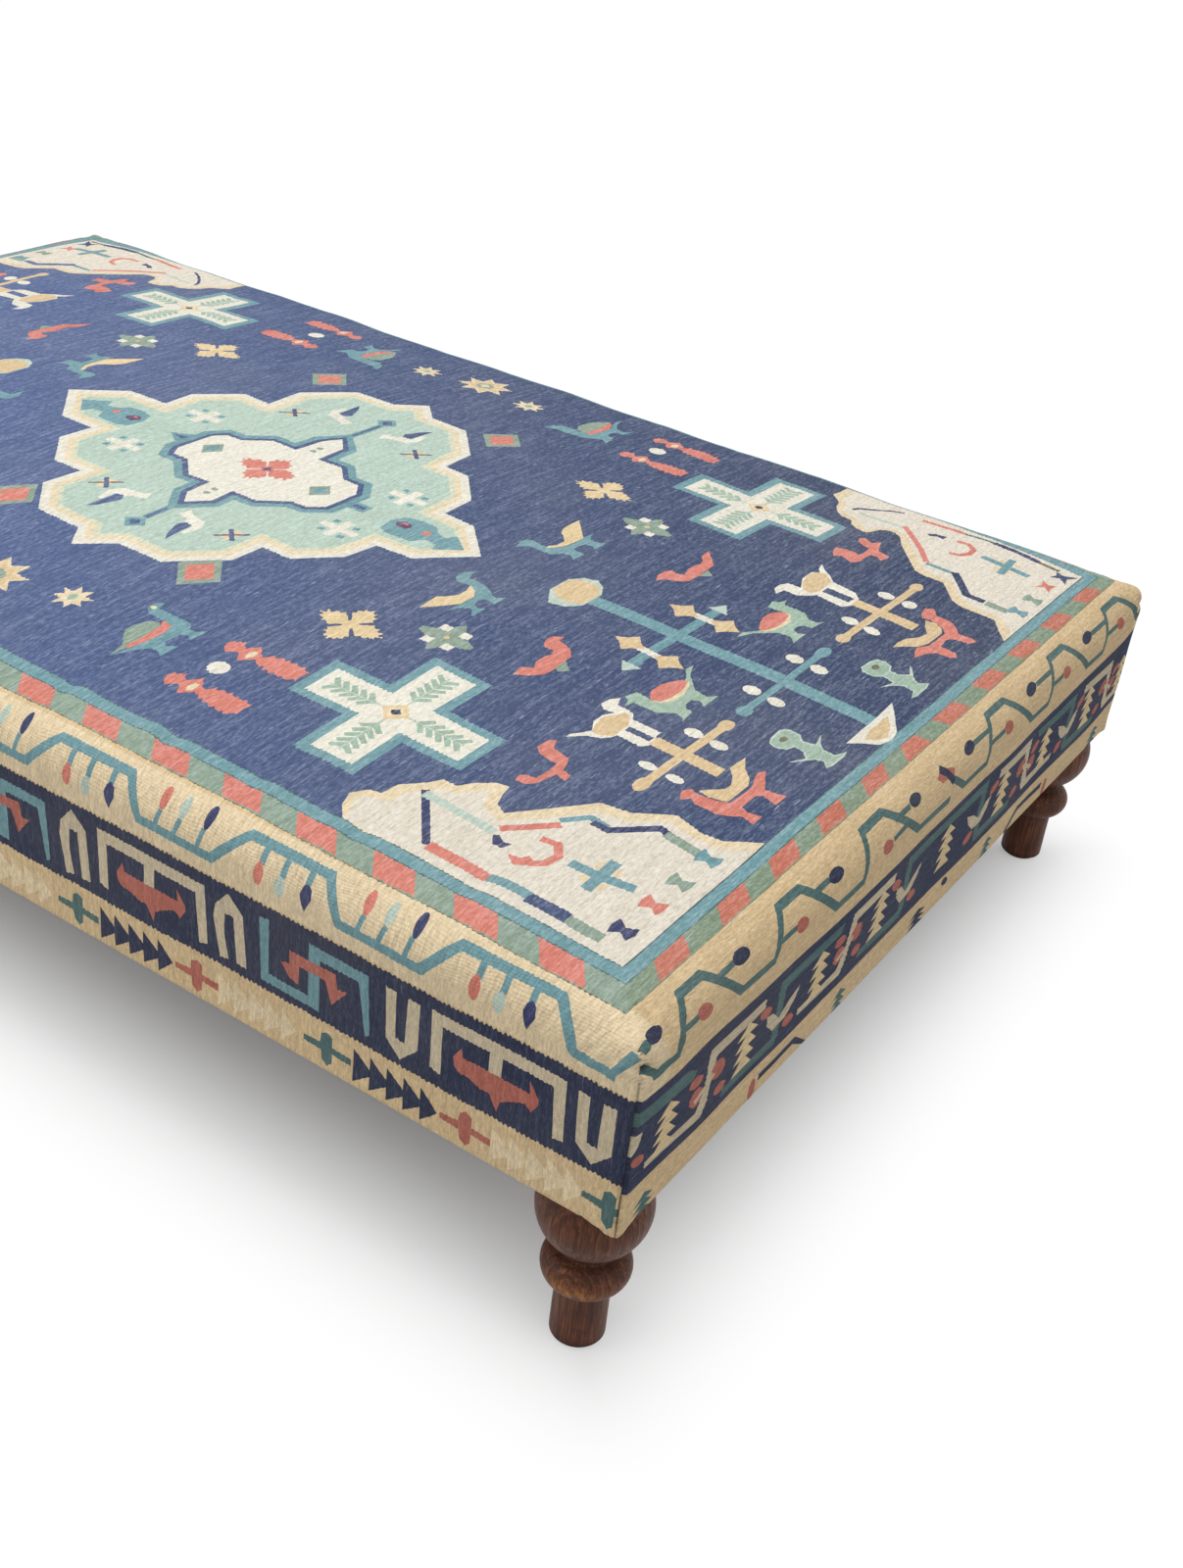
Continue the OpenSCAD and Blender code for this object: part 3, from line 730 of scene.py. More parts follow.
def drawn_band(wide, *points):
    """A line of one width as an outline: out along its left side and back along its right."""
    path = np.reshape(points, (-1, 2))
    step = np.diff(path, axis=0)
    step /= np.maximum(np.hypot(*step.T), 1e-6)[:, None]
    side = np.stack([-step[:, 1], step[:, 0]], -1)
    side = np.concatenate([side[:1], side[:-1] + side[1:], side[-1:]])
    inner = np.ones(len(path))
    inner[1:-1] = 2 / np.maximum(0.5, np.sum(side[1:-1] ** 2, -1))
    side *= inner[:, None] * wide / 2
    return np.concatenate([path + side, (path - side)[::-1]])


def drawn_oval(x, y, rx, ry, turn=0.0):
    """An oval with twelve sides, turned by some degrees."""
    a = np.arange(12) * np.pi / 6
    c, s = np.cos(np.radians(turn)), np.sin(np.radians(turn))
    ox, oy = rx * np.cos(a), ry * np.sin(a)
    return np.stack([x + ox * c - oy * s, y + ox * s + oy * c], -1)


def drawn_star(x, y, outer, inner, points, turn=0.0):
    """A star: its radius goes out and in from one point to the next."""
    count = np.arange(2 * int(points))
    a = np.radians(turn) + count * np.pi / points
    r = np.where(count % 2 == 0, outer, inner)
    return np.stack([x + r * np.cos(a), y + r * np.sin(a)], -1)


def drawn_plus(x, y, rx, ry, bar):
    """A cross with arms of these lengths and bars of one width."""
    h = bar / 2
    corner = np.array([
        (rx, h), (h, h), (h, ry), (-h, ry), (-h, h), (-rx, h),
        (-rx, -h), (-h, -h), (-h, -ry), (h, -ry), (h, -h), (rx, -h),
    ])
    return corner + [x, y]


def drawn_feather(x0, y0, x1, y1, half, barbs):
    """A row of arrow shapes along a line: out at each barb's back, in at its front."""
    ax = np.array([x1 - x0, y1 - y0])
    side = np.array([-ax[1], ax[0]]) / np.hypot(*ax)
    back = np.arange(barbs) / barbs
    t = np.stack([back, back + 0.98 / barbs], -1).ravel()
    h = np.tile([half, half * 0.22], int(barbs))
    h[-1] = 0
    one = np.array([x0, y0]) + t[:, None] * ax + h[:, None] * side
    two = np.array([x0, y0]) + t[:, None] * ax - h[:, None] * side
    return np.concatenate([one, two[-2::-1]])


kinds = {
    "patch": drawn_patch, "block": drawn_block, "band": drawn_band, "oval": drawn_oval,
    "star": drawn_star, "plus": drawn_plus, "feather": drawn_feather,
}


def lay(drawing, *spots, side=None, tooth=1.2, edge=900):
    """Adds a drawing at each spot: a shift along and across, and a sign for each. In place of a
    kind, grow draws the last shape again, so much larger, and the dye none draws a shape that
    only serves for that. side says that the numbers are places along both such sides and
    distances past the roll, not places on the flat; at the far long side the row lies lower.
    tooth is how far the weave steps out and in at an edge. edge cuts shapes off where the field
    ends at the left and right."""
    words = drawing.split()
    begins = [i for i, word in enumerate(words) if word in dyes or word == "none"]
    for begin, stop in zip(begins, begins[1:] + [len(words)]):
        dye, kind, *numbers = words[begin:stop]
        numbers = np.array(numbers, float)
        if kind != "grow":
            shape = outline = kinds[kind](*numbers)
        else:
            outline = grown(shape, numbers[0])
        if dye == "none":
            continue
        for dx, dy, fx, fy in spots or [(0, 0, 1, 1)]:
            if side is None:
                x, y = outline[:, 0] * fx + dx, outline[:, 1] * fy + dy
                woven.append((dye, np.stack([np.clip(x, -edge, edge), y], -1), tooth))
                continue
            w, s = outline[:, 0] * fx + dx, np.clip(outline[:, 1], -60, fold_s + 2)
            q, out = on_side(w, s, side == "long")
            for sign in (-1, 1):
                lower = far_drop * np.clip((100 - s) / 80, 0, 1) * (sign > 0)
                flat = (q, (out + lower) * sign) if side == "long" else (out * sign, q)
                woven.append((dye, np.stack(flat, -1), tooth))


both_halves = [(0, 0, 1, 1), (0, 0, -1, 1)]
both_ends = [(0, 0, 1, 1), (-10, 0, -1, 1)]
outer_field = [(0, 0, 1, 1), (-26, 0, -1, 1)]

# The ground: the dark bands of the sides, the green border with its coral blocks, a teal line
# and the blue field, which is the top. The rug was pulled 30 mm over to the back when it
# was fixed, and 10 mm to the left, and its border bows 7 mm out to the near corners.
# Painted highlight: the roll and upper part of each long side is laid in oat, a paler copy of the
# sand, where light falls on it.
lay("oat block -745 12 745 66", side="long", tooth=0.4)
lay("night block -745 67.5 745 139.5", side="long", tooth=1.4)
lay("""
night patch -470 62 -440 70 -400 74 -200 77 0 79 200 78 400 74 440 70 470 62 470 142 440 148 400
    150 200 152 0 152 -200 152 -400 150 -440 148 -470 142
""", side="end")
lay("""
olive patch -698 -432.6 -340 -425.6 340 -425.6 688 -432.6 688 424 674 439 500 455.6 -500 455.6
    -684 439 -698 424
green patch -697.6 -432 -340 -425 340 -425 687.6 -432 687.6 423 673 438.4 500 455 -500 455 -683
    438.4 -697.6 423
""", tooth=0.7)
for step in range(-9, 9):
    x = 55.4 + 68.6 * (step if step >= 0 else -1 - step)
    back = 12 if step < 0 else 0
    drop, bow = 0.095 * max(0, x - 500), 0.022 * max(0, x - 320)
    for y, up in ((-403 - bow, -424 - bow), (433 - drop, 454 - drop)):
        lay(
            f"coral patch {x} {y} {x + 35} {y} {x + 51} {up} {x + 16} {up}",
            (-back, 0, 1 if step >= 0 else -1, 1), tooth=0.9,
        )
for y, up in ((-403, -424), (433, 454)):
    lay(f"coral patch -24 {y} 12 {y} 28 {up} -40 {up}", tooth=0.9)
lay("moss patch 672.6 -414 687.6 -430 687.6 423 672.6 422", *both_ends, tooth=0.4)
for y in (-378, -300, -230, -160, -88):
    lay(f"brick patch 671 {y} 671 {y + 36} 687 {y + 20} 687 {y - 17}", *both_ends)
lay("brick patch 671 -20 671 2 687 8 687 -36", *both_ends)
for y in (36, 113, 190, 266, 342):
    lay(f"brick patch 671 {y} 671 {y + 40} 687 {y + 47} 687 {y + 7}", *both_ends)
lay("""
deep patch -682.6 -411.2 -340 -404.2 340 -404.2 672.6 -411.2 672.6 418.2 500 434.2 -500 434.2
    -682.6 418.2
teal patch -681.6 -410 -340 -403 340 -403 671.6 -410 671.6 417 500 433 -500 433 -681.6 417
deep patch -672.3 -398.9 -340 -391.9 340 -391.9 662.3 -398.9 662.3 406 500 421.9 -500 421.9 -672.3
    406
field patch -671.5 -398 -340 -391 340 -391 661.5 -398 661.5 405 500 421 -500 421 -671.5 405
""", tooth=0.9)

# The medallion in the middle.
lay("""
cream patch -4 246 23 217 66 217 112 164 116 120 144 118 180 76 182 34 216 32 260 -15 222 -63 184
    -65 180 -102 150 -138 119 -138 118 -174 78 -216 28 -216 0 -243 -18 -218 -70 -216 -106 -178
    -102 -138 -136 -138 -173 -98 -170 -62 -212 -60 -260 -8 -218 36 -171 36 -173 74 -140 116 -106
    114 -109 164 -74 215 -28 217
rim grow -8.5
haze grow -13.5
sea grow -19
teal band 8 5 92 4 160
field band 3.5 5 92 4 160
teal patch -9 168 4 181 16 168 4 155
field patch -3 168 4 175 10 168 4 161
teal band 8 8 -98 8 -166
field band 3.5 8 -98 8 -166
teal patch -4 -178 8 -165 20 -178 8 -190
field patch 2 -178 8 -172 14 -178 8 -184
teal band 16 96 -15 132 -15
field band 7 96 -15 128 -15
teal patch -114 -14 -84 6 -84 -34
field patch -108 -14 -84 -6 -84 -22
none patch 5 98 23 78 24 41 52 42 72 21 90 21 102 4 102 -38 90 -51 74 -52 52 -74 24 -75 25 -102 9
    -120 -3 -104 -4 -74 -30 -75 -56 -50 -74 -50 -82 -36 -82 8 -74 20 -54 20 -34 42 -5 42 -4 78
teal grow 13
field grow 5.5
cream grow 0
""")
lay("""
coral patch -1 -1 33 -1 27 2 29 7 22 7 21 12 16 10 13 13 9 9 5 4 4 5 9 11 12 16 9 19 10 24 5 24 5
    29 2 27 -1 34
""", *[(10, -14, fx, fy) for fx in (-1, 1) for fy in (-1, 1)], tooth=2.2)
lay("""
plum star 10 -14 7 3 4
green patch 63 -15 75 0 87 -15 75 -30
teal patch 68 -15 75 -6 82 -15 75 -24
green patch -70 -15 -58 0 -46 -15 -58 -30
teal patch -65 -15 -58 -6 -51 -15 -58 -24
green oval 8 62 3.5 3
green oval 8 52 3.5 3
green oval 10 -83 3.5 3
green oval 10 -93 3.5 3
""")
lay("""
cream plus 0 0 20 18 8.5
teal block 8 8 14 14
teal block -14 8 -8 14
teal block 8 -14 14 -8
teal block -14 -14 -8 -8
""", (139, 34, 1, 1), (-121, 40, 1, 1), (140, -64, 1, 1), (-121, -68, 1, 1))
lay("""
straw block -5 -9 5 9
plum band 2.6 -11 -11 11 11
field band 4.4 -8 8 8 -8
""", (-72, 115, 1, 1), (77, 122, 1, 1), (-67, -140, 1, 1), (85, -140, 1, 1))
lay("""
cream patch -50 166 -54 150 -48 138 -30 134 -22 128 -18 140 -32 144 -34 150 -46 150 -46 166
field patch -46 184 -40 176 -32 156 -36 148 -44 150
""", (0, 0, 1, 1), (4, 0, -1, 1), (0, 0, 1, -1), (4, 0, -1, -1))
lay("""
teal patch 165 0 180 5 196 4 206 -6 216 -8 220 3 242 -16 222 -37 218 -26 206 -24 198 -37 172 -39
    162 -34 159 -16
plum patch 164 -14 170 -8 178 -9 182 -15 178 -21 169 -21
coral oval 173 -12 3.5 1.6
coral oval 198 -13 4 4.5
""", (0, 0, 1, 1), (10, 0, -1, 1))
for cx, cy in ((105, 226), (-120, 223), (113, -207), (-106, -211)):
    lay(f"""
green patch {cx - 24} {cy} {cx - 1} {cy + 28} {cx + 23} {cy} {cx + 1} {cy - 28}
coral grow -6
""")

# The sprays, stars and small crosses that fill the field on either side of it.
lay("""
straw patch -1 -1 33 -1 27 2 29 6 23 5.5 22 10 17.5 8.5 15 12 10.5 8.5 5.5 4 4 5.5 8 11.5 11.5
    15.5 8.5 17.5 10 21.5 5.5 22.5 6 27 2 26 -1 30
""",
    *[(x, y, fx, fy) for x, y in ((248, 196), (-257, 197), (259, -187.5), (-257, -190))
      for fx in (-1, 1) for fy in (-1, 1)], tooth=1.5,
)
lay("""
rim star 0 0 31 18 8 22.5
sand star 0 0 24 14 8 22.5
green oval 0 0 10 10
rim star 0 0 7 4 4
""", (-14, 357, 1, 1), (-5, -320, 1, 1))
lay("""
rim star 0 0 18 9.5 8 22.5
sage oval 0 0 4 5
""", (55, 342, 1, 1), (-82, 341, 1, 1), (70, -305, 1, 1), (-72, -308, 1, 1))
lay("""
green patch 0 27 5 20 7 9 16 7 26 2 26 -3 16 -8 7 -9 4 -20 0 -27 -5 -20 -7 -9 -16 -8 -26 -3 -26 2
    -16 7 -7 9 -5 20
cream block 5.5 8 14.5 17
cream block -14.5 8 -5.5 17
cream block 5.5 -17 14.5 -8
cream block -14.5 -17 -5.5 -8
sand oval 0 0 2.5 3
""", (323, 157, 1, 1), (328, -151, 1, 1), (-333, 155, 1, 1), (-333, -152, 1, 1), tooth=0.9)

# Pairs of spiked coral beasts with a white disc between them.
lay("""
coral patch -24 0 -22 6 -16 8 -15 12 -12 6 -8 4 -1 14 8 4 13 5 16 9 20 8 23 12 27 9 30 13 33 9 37
    12 41 9 46 12 50 7 53 9 52 0 53 -9 50 -7 46 -12 41 -9 37 -12 33 -9 30 -13 27 -9 23 -12 20 -8
    16 -9 13 -5 8 -4 -1 -14 -8 -4 -12 -6 -16 -10 -19 -8 -22 -6
rim oval 1.5 0 3.4 6.5
""",
    (219, 374, 1, 1), (222, 304, 1, 1), (232, -274, 1, 1), (232, -338, 1, 1),
    (-226, 371, -1, 1), (-228, 297, -1, 1), (-232, -276, -1, 1), (-232, -340, -1, 1), tooth=2.4,
)
lay(
    "cream oval 0 0 9 9.5",
    (218.5, 342, 1, 1), (228.6, -305, 1, 1), (-236, 334, 1, 1), (-234, -308, 1, 1),
)

# The crosses, whose sprigs grow from a small diamond.
for cx, cy, rx, ry, wide in ((367, 293, 74, 80, 40), (370, -265.5, 73, 73.5, 38.5),
                             (-390, 290, 73, 78, 40), (-386, -268, 73, 76, 39)):
    lay(f"teal plus {cx} {cy} {rx + 9} {ry + 9} {wide + 18}\ncream plus {cx} {cy} {rx} {ry} {wide}")
    for ux, uy, reach in ((1, 0, rx), (-1, 0, rx), (0, 1, ry), (0, -1, ry)):
        tip = reach - 9
        lay(f"mist band 2.2 {cx + 13 * ux} {cy + 13 * uy} {cx + tip * ux} {cy + tip * uy}")
        for a in np.arange(20, reach - 12, 8.5):
            for side in (-1, 1):
                leaf = [(a, 0.6), (a + 9, 11), (a + 12, 8), (a + 7, 0.6)]
                leaf = [(p, q * side) for p, q in leaf]
                lay("sage patch " + " ".join(
                    f"{cx + p * ux - q * uy:.1f} {cy + p * uy + q * ux:.1f}" for p, q in leaf
                ), tooth=0.4)
    lay(f"""
straw patch {cx - 13} {cy} {cx} {cy + 14} {cx + 13} {cy} {cx} {cy - 14}
rim grow -3
olive grow -6
night oval {cx} {cy} 4 3.4
""")

# Birds in teal, coral and green, small coral beasts, camels and riders.
lay("""
teal patch 142 393 146 376 154 365 162 366 169 372 168 355 160 356 157 346 161 337 168 337 174 313
    164 321 157 316 150 309 129 307 114 307 104 300 107 314 116 323 124 324 134 322 146 330 150
    345 148 362 143 374 140 384
green patch 138 376 130 366 125 355 124 335 130 325 140 324 144 335 144 360
coral patch 138 375 144 370 149 357 149 332 145 323 140 326 142 346 140 362
""", (0, 0, 1, 1), (-12, -6, -1, 1), tooth=0.8)
lay("""
teal patch 129 -262 123 -267 123 -276 131 -282 147 -283 158 -284 163 -296 161 -314 158 -334 155
    -348 164 -328 172 -319 178 -319 185 -323 185 -303 177 -309 172 -305 173 -290 178 -287 185 -291
    185 -272 179 -279 173 -279 167 -272 131 -271
green patch 148 -287 140 -290 136 -303 136 -312 143 -321 151 -329 155 -347 157 -330 155 -309 153
    -291
coral patch 147 -283 158 -284 162 -295 161 -314 158 -331 154 -329 154 -309 152 -290
rim oval 127 -273 3 2.4
""", *both_halves, tooth=0.8)
lay("""
teal patch 297 107 300 97 305 91 313 92 318 96 318 77 313 81 306 80 304 69 305 62 312 62 318 60
    318 43 310 49 304 47 298 36 287 36 275 36 268 25 264 38 266 46 270 48 282 46 291 50 297 60 298
    76 297 92
straw patch 272 119 280 110 290 98 297 90 297 75 296 60 291 50 287 45 286 50 290 57 290 70 284 77
    277 83 273 92 272 106
""", (0, 0, 1, 1), (-12, -2, -1, 1), tooth=0.8)
lay("""
teal patch 274 -41 268 -51 268 -62 274 -68 286 -65 295 -71 301 -77 301 -98 300 -116 306 -103 313
    -98 321 -109 321 -90 315 -94 310 -90 308 -83 309 -78 314 -76 321 -78 321 -60 316 -67 311 -67
    305 -61 295 -56 285 -55 277 -55
straw patch 286 -65 295 -70 301 -79 301 -98 295 -108 289 -117 281 -127 280 -115 279 -102 284 -97
    290 -87 290 -76
""", (0, 0, 1, 1), (-12, -2, -1, 1), tooth=0.8)
lay("""
coral patch 389 160 390 150 391 143 397 135 399 127 397 121 397 109 401 97 394 93 389 96 385 89
    385 77 390 67 394 77 402 80 410 89 411 102 410 119 409 135 402 144 394 153
green patch 411 122 420 114 411 105
""", (0, 0, 1, 1), (-18, 0, -1, 1), tooth=0.9)
lay("""
coral patch 394 -80 387 -86 386 -94 389 -102 393 -106 401 -105 403 -111 401 -118 401 -130 405 -138
    397 -145 399 -158 409 -151 417 -140 418 -130 417 -114 416 -102 410 -94 402 -90 395 -88
green patch 417 -111 428 -121 422 -129 417 -126
""", (0, 0, 1, 1), (-18, 0, -1, 1), tooth=0.9)
lay("""
sage patch 489 128 491 118 512 117 522 107 530 108 533 113 531 95 524 94 521 88 521 80 527 76 533
    81 533 58 527 66 515 65 508 57 500 48 493 32 492 42 500 54 502 62 496 76 494 92 498 104 484
    102 481 115 486 118
rim patch 500 104 506 103 512 92 512 76 509 64 505 57 500 60
coral patch 499 105 505 101 508 88 508 72 504 58 499 59 494 70 491 80 491 92 495 101
mist patch 593 66 594 82 597 90 604 92 611 88 614 80 622 81 628 88 621 103 624 100 634 84 640 81
    646 88 648 80 648 62 646 54 642 66 632 66 626 60 620 48 624 64 614 67 608 60 598 60
sage grow -1.6
olive oval 602 76 3 5
""", *outer_field, (0, -7, 1, -1), (-26, -7, -1, -1), tooth=0.8, edge=658)
lay("""
coral patch 489 316 484 306 474 313 470 308 473 300 481 294 488 293 489 280 488 270 482 273 473
    271 465 267 468 256 473 247 478 254 486 251 491 248 496 258 495 269 496 280 503 280 509 275
    511 290 503 292 496 296 493 306
""", *outer_field, tooth=0.8, edge=658)
lay("""
coral patch 479 -211 474 -214 473 -228 479 -234 490 -237 497 -237 498 -249 497 -263 491 -264 486
    -267 487 -275 495 -275 501 -268 503 -257 505 -249 514 -251 513 -242 505 -240 503 -232 499 -225
    489 -222 483 -221
""", *outer_field, tooth=0.8, edge=658)
lay("""
cream patch 475 220 478 208 483 201 477 195 478 176 486 158 474 157 470 149 470 138 476 130 478
    142 490 142 499 151 503 157 530 153 535 163 533 181 525 190 508 192 501 193 491 204 484 209
sand patch 480 198 488 203 500 192 501 166 497 156 488 158 481 171 478 188
field block 503 167 530 178
sand block 533 164 594 179
sand band 7 559 100 559 245
sand oval 559 247 6 9
sand oval 559 100 6 9.5
cream oval 547 208.5 8 7
cream oval 570 209 7 8
cream oval 548 134 8 7
cream oval 570 133 8 6.5
coral patch 590 220 583 214 586 200 590 194 597 196 612 190 617 183 617 151 611 138 613 129 618
    119 622 133 627 142 640 143 644 148 640 156 625 157 623 173 627 179 640 182 644 190 640 194
    626 192 620 201 612 208 597 209
sand patch 594 192 603 194 611 189 615 181 615 154 611 140 602 131 596 121 595 133 597 146 604 158
    606 170 599 180
""", *outer_field, tooth=0.8, edge=658)
lay("""
cream patch 480 -126 475 -134 474 -145 480 -150 489 -148 484 -158 484 -170 490 -181 486 -189 481
    -197 481 -202 490 -191 501 -185 506 -179 508 -173 529 -174 533 -168 533 -157 530 -153 530 -146
    504 -146 501 -140 495 -137 484 -137
sand patch 490 -152 495 -142 501 -145 506 -155 506 -176 497 -183 491 -182 487 -171 486 -159
field block 508 -163 530 -156
sand block 532 -167 592 -153.5
sand band 7.5 560 -100 558 -215
sand oval 560 -99 6 9.5
sand oval 557.5 -215 6 11
cream oval 548 -128 8 6.5
cream oval 571 -128.6 8 6
cream oval 547.5 -192 8 5
cream oval 571.5 -192.6 7.5 5
coral patch 615 -133 611 -140 615 -152 618 -160 617 -190 607 -195 593 -197 587 -195 583 -202 588
    -213 594 -206 599 -210 618 -210 626 -205 632 -199 643 -202 643 -189 632 -191 626 -188 626 -168
    630 -164 643 -168 643 -152 632 -155 626 -155 623 -148 619 -142
sand patch 594 -128 602 -142 611 -151 615 -160 615 -190 602 -195 592 -193 598 -184 605 -176 605
    -168 600 -157 593 -149
""", *outer_field, tooth=0.8, edge=658)

# The tree that lies along the field towards the end, between two buds.
lay("""
teal band 16.5 372 -8 460 -4.5 560 -2.5 640 -6.5
mist patch 337 -20 337 8 345 21 356 26 366 19 373 6 373 -22 364 -36 350 -41
sand patch 338 -18 338 8 346 16 356 18 366 14 372 4 372 -20 360 -28 348 -26
teal band 9 457 62 457 -78
mist patch 448 60 457 76 467 60
mist patch 448 -76 457 -90 467 -76
cream band 8.5 440 39 474 40
sand star 437 38 15 9 4 90
sand star 476 41 15 9 4 90
cream band 8.5 440 -48 474 -50
sand star 437 -47 15 9 4 90
sand star 476 -50 15 9 4 90
teal band 6.5 559 62 559 -68
teal oval 559 63 6 11
teal oval 559 -69 6.5 8.5
cream oval 547 35 8 7
cream oval 570 35 8 7
cream oval 547 -36.5 8 7
cream oval 570 -37.5 8 6.5
cream patch 638 34 646 22 654 8 661 -4 664 -18 660 -32 648 -42 640 -51 640 -20 640 5
sand patch 645 12 652 2 657 -8 659 -18 656 -28 648 -34 645 -20
""", *both_halves, tooth=0.8)

# The corners of the field: ivory ground with a straw edge, small hooks, crosses and bow ties.
lay("""
rim patch 428 -393 416 -380 411 -366 418 -354 428 -352 430 -336 444 -320 450 -310 462 -310 468
    -300 480 -288 490 -285 492 -296 496 -308 506 -314 522 -292 548 -256 572 -252 598 -232 622 -238
    638 -235 650 -224 661 -216 661 -398
ivory patch 430 -392 422 -376 419 -366 427 -360 438 -358 440 -340 452 -324 458 -320 468 -318 478
    -304 484 -298 486 -308 492 -318 508 -324 528 -302 554 -268 576 -262 598 -243 622 -247 640 -246
    654 -234 661 -228 661 -398
ink band 6 448 -328 490 -380
coral band 10 491 -380 542 -380
teal band 9 542 -379 575 -379
field band 11 575 -381 608 -382
green band 10 608 -383 636 -384
mist band 8 450 -332 515 -337
coral band 7 515 -331 544 -298
teal band 6 540 -294 554 -276 570 -278
ink band 7 558 -280 572 -281 598 -254 606 -256
green band 9 604 -257 634 -260
ink patch 516 -340 520 -337 526 -342 532 -340 530 -348 522 -349
coral band 6.5 543 -321 556 -319 564 -330 562 -343 553 -351
coral patch 560 -350 546 -358 536 -350 546 -348 549 -342 554 -346
oat block 588 -323 608 -315
oat block 588 -343 608 -335
teal band 9 574 -331 598 -330 623 -325
teal band 9 597 -308 599 -349
""", *outer_field, tooth=0.8, edge=671.4)
lay("""
rim patch 400 421 400 404 398 392 408 382 414 374 417 362 424 350 432 343 444 342 448 334 456 328
    468 326 471 334 474 344 480 350 488 350 496 344 506 326 542 280 552 276 572 277 594 250 604
    245 638 244 650 226 661 212 661 405 500 421
ivory patch 411 421 410 404 409 392 416 384 422 372 425 360 432 352 446 351 452 341 466 334 470
    342 478 357 488 358 500 351 514 332 546 290 556 286 578 286 600 258 610 254 642 253 656 236
    661 226 661 405 500 421
ink band 3.6 432 368 435 377 446 390 458 401 471 408
mist band 5 440 368 488 370
coral band 6 487 375 524 332 541 308
teal band 6 542 305 570 305
field band 8 570 308 598 272 616 272
green band 10 618 271 640 270
coral band 6 492 405 538 407
deep band 4 538 406 568 407
ink band 7 568 407 592 405 618 400
olive band 5 618 400 640 397
ink patch 511 375 517 381 529 383 528 374 521 376 515 371
coral band 5.5 540 382 552 382 561 374 562 362 556 351 546 348
coral patch 541 385 552 372 548 380 540 378
oat block 590 368 610 374
oat block 590 348 610 355
teal band 8.5 573 366 598 363 624 358
teal band 7.5 598 383 602 341
""", *outer_field, tooth=0.8, edge=671.4)
lay("""
teal patch 633 -251 641 -256.5 649 -252 650 -260 648 -268 641 -263.5 634 -269 632 -260
green patch 633 -288 641 -293.5 649 -289 650 -297 648 -305 641 -300.5 634 -306 632 -297
coral patch 633 -322 641 -327.5 649 -323 650 -331 648 -339 641 -334.5 634 -340 632 -331
ink patch 633 -358 641 -363.5 649 -359 650 -367 648 -375 641 -370.5 634 -376 632 -367
ink patch 639 374 647 380 656 372 653 384 660 397 647 389 639 394 642 384
coral patch 637 342 645 348 652 340 650 351 652 361 645 356 637 362 640 352
green patch 639 304 647 309.5 655 305 656 313 654 321 647 316.5 640 322 638 313
teal patch 639 269 647 274.5 655 270 656 278 654 286 647 281.5 640 287 638 278
""", *both_ends, tooth=0.8)

# The long sides: a teal vine with hanging and standing buds on the roll, hooks and little beasts
# on the dark band, and a lower row of crosses and arrow rows. The vine dips to the corners.
hanging = """
teal band 5 -20 24 -20 38
coral oval -21 45 4.2 9
teal band 5 -1 24 -1 40
mist oval -2 47 4.6 8
teal band 5 20 24 20 38
ink patch 15.5 44 17 38 20 35 24 38 25.5 45 23 51 21 56 18 51
"""
standing = """
teal band 4.2 66 50 69 36
coral oval 69 27 3.9 9.5
teal band 4.2 84 50 88 36
mist oval 88 27 3.9 9
teal band 4.2 107 50 110 34
ink oval 111 25 3.8 9.5
"""
for n in range(-5, 3):
    middle = 240 + 183.5 * n
    spot, start = (middle, 0, 1, 1), max(-91.75, -706 - middle)
    lay(hanging + (standing if n < 2 else ""), spot, side="long", tooth=0.5)
    path = f"{start} 51.5 -63 51.5 -36 22.5 33 22.5 50 51.5 91.75 51.5"
    if n == 2:
        path = f"{start} 51.5 -63 51.5 -39 24 37 24 57 54 86 55 97 36"
    lay("teal band 7.4 " + path, spot, side="long", tooth=0.6)
for n, kind in enumerate("U P U S A P A S U P U S A P A S U P U".split()):
    middle = 686 - 77 * n
    motif = {
        "S": """
teal patch -50 79 -41 78 -41 124 -5 124 -5 79 47 80 50 130 46 132 39 89 5 89 5 133 -48 132
rust patch -22 94 19 93 21 105 29 104 16 121 10 103 -13 103 -14 119 -22 117 -30 107 -22 105
""",
        "A": "fawn patch -2 74 12 87 15 131 6 131 3 92 -5 92 -6 110 -2 131 -10 133 -16 100 -14 88",
        "U": "fawn patch -15 80 -6 80 -5 118 3 119 4 80 14 80 14 119 0 134 -13 122",
        "P": """
fawn patch -53 78 53 78 55 128 47 130 44 88 4 88 4 105 -6 105 -6 88 -44 88 -43 128 -52 126
rust patch -34 107 -28 97 -26 104 27 104 26 94 34 105 34 110 29 118 24 114 14 118 5 124 3 133 -2
    125 -4 121 -11 122 -21 118 -28 118 -33 114
""",
    }[kind]
    if abs(middle) < 690:
        lay(motif, (middle, 0, 1, 1), side="long", tooth=0.8)
cross = """patch -21 159 -6 158 -5 150 0 147 5 150 5 158 22 159
    22 165 5 164 5 172 1 176 -4 172 -5 165 -21 164"""
arrows = "feather -37 162 37 162 14.5 5"
for middle in (-749.5, -506, -262.5, -19, 224.5, 468, 703):
    for shift, motif in ((0, "deep " + cross), (61, "night " + arrows),
                         (121, "rust " + cross), (179, "oat " + arrows)):
        lay(motif, (middle + shift, 0, 1, 1), side="long", tooth=0.6)

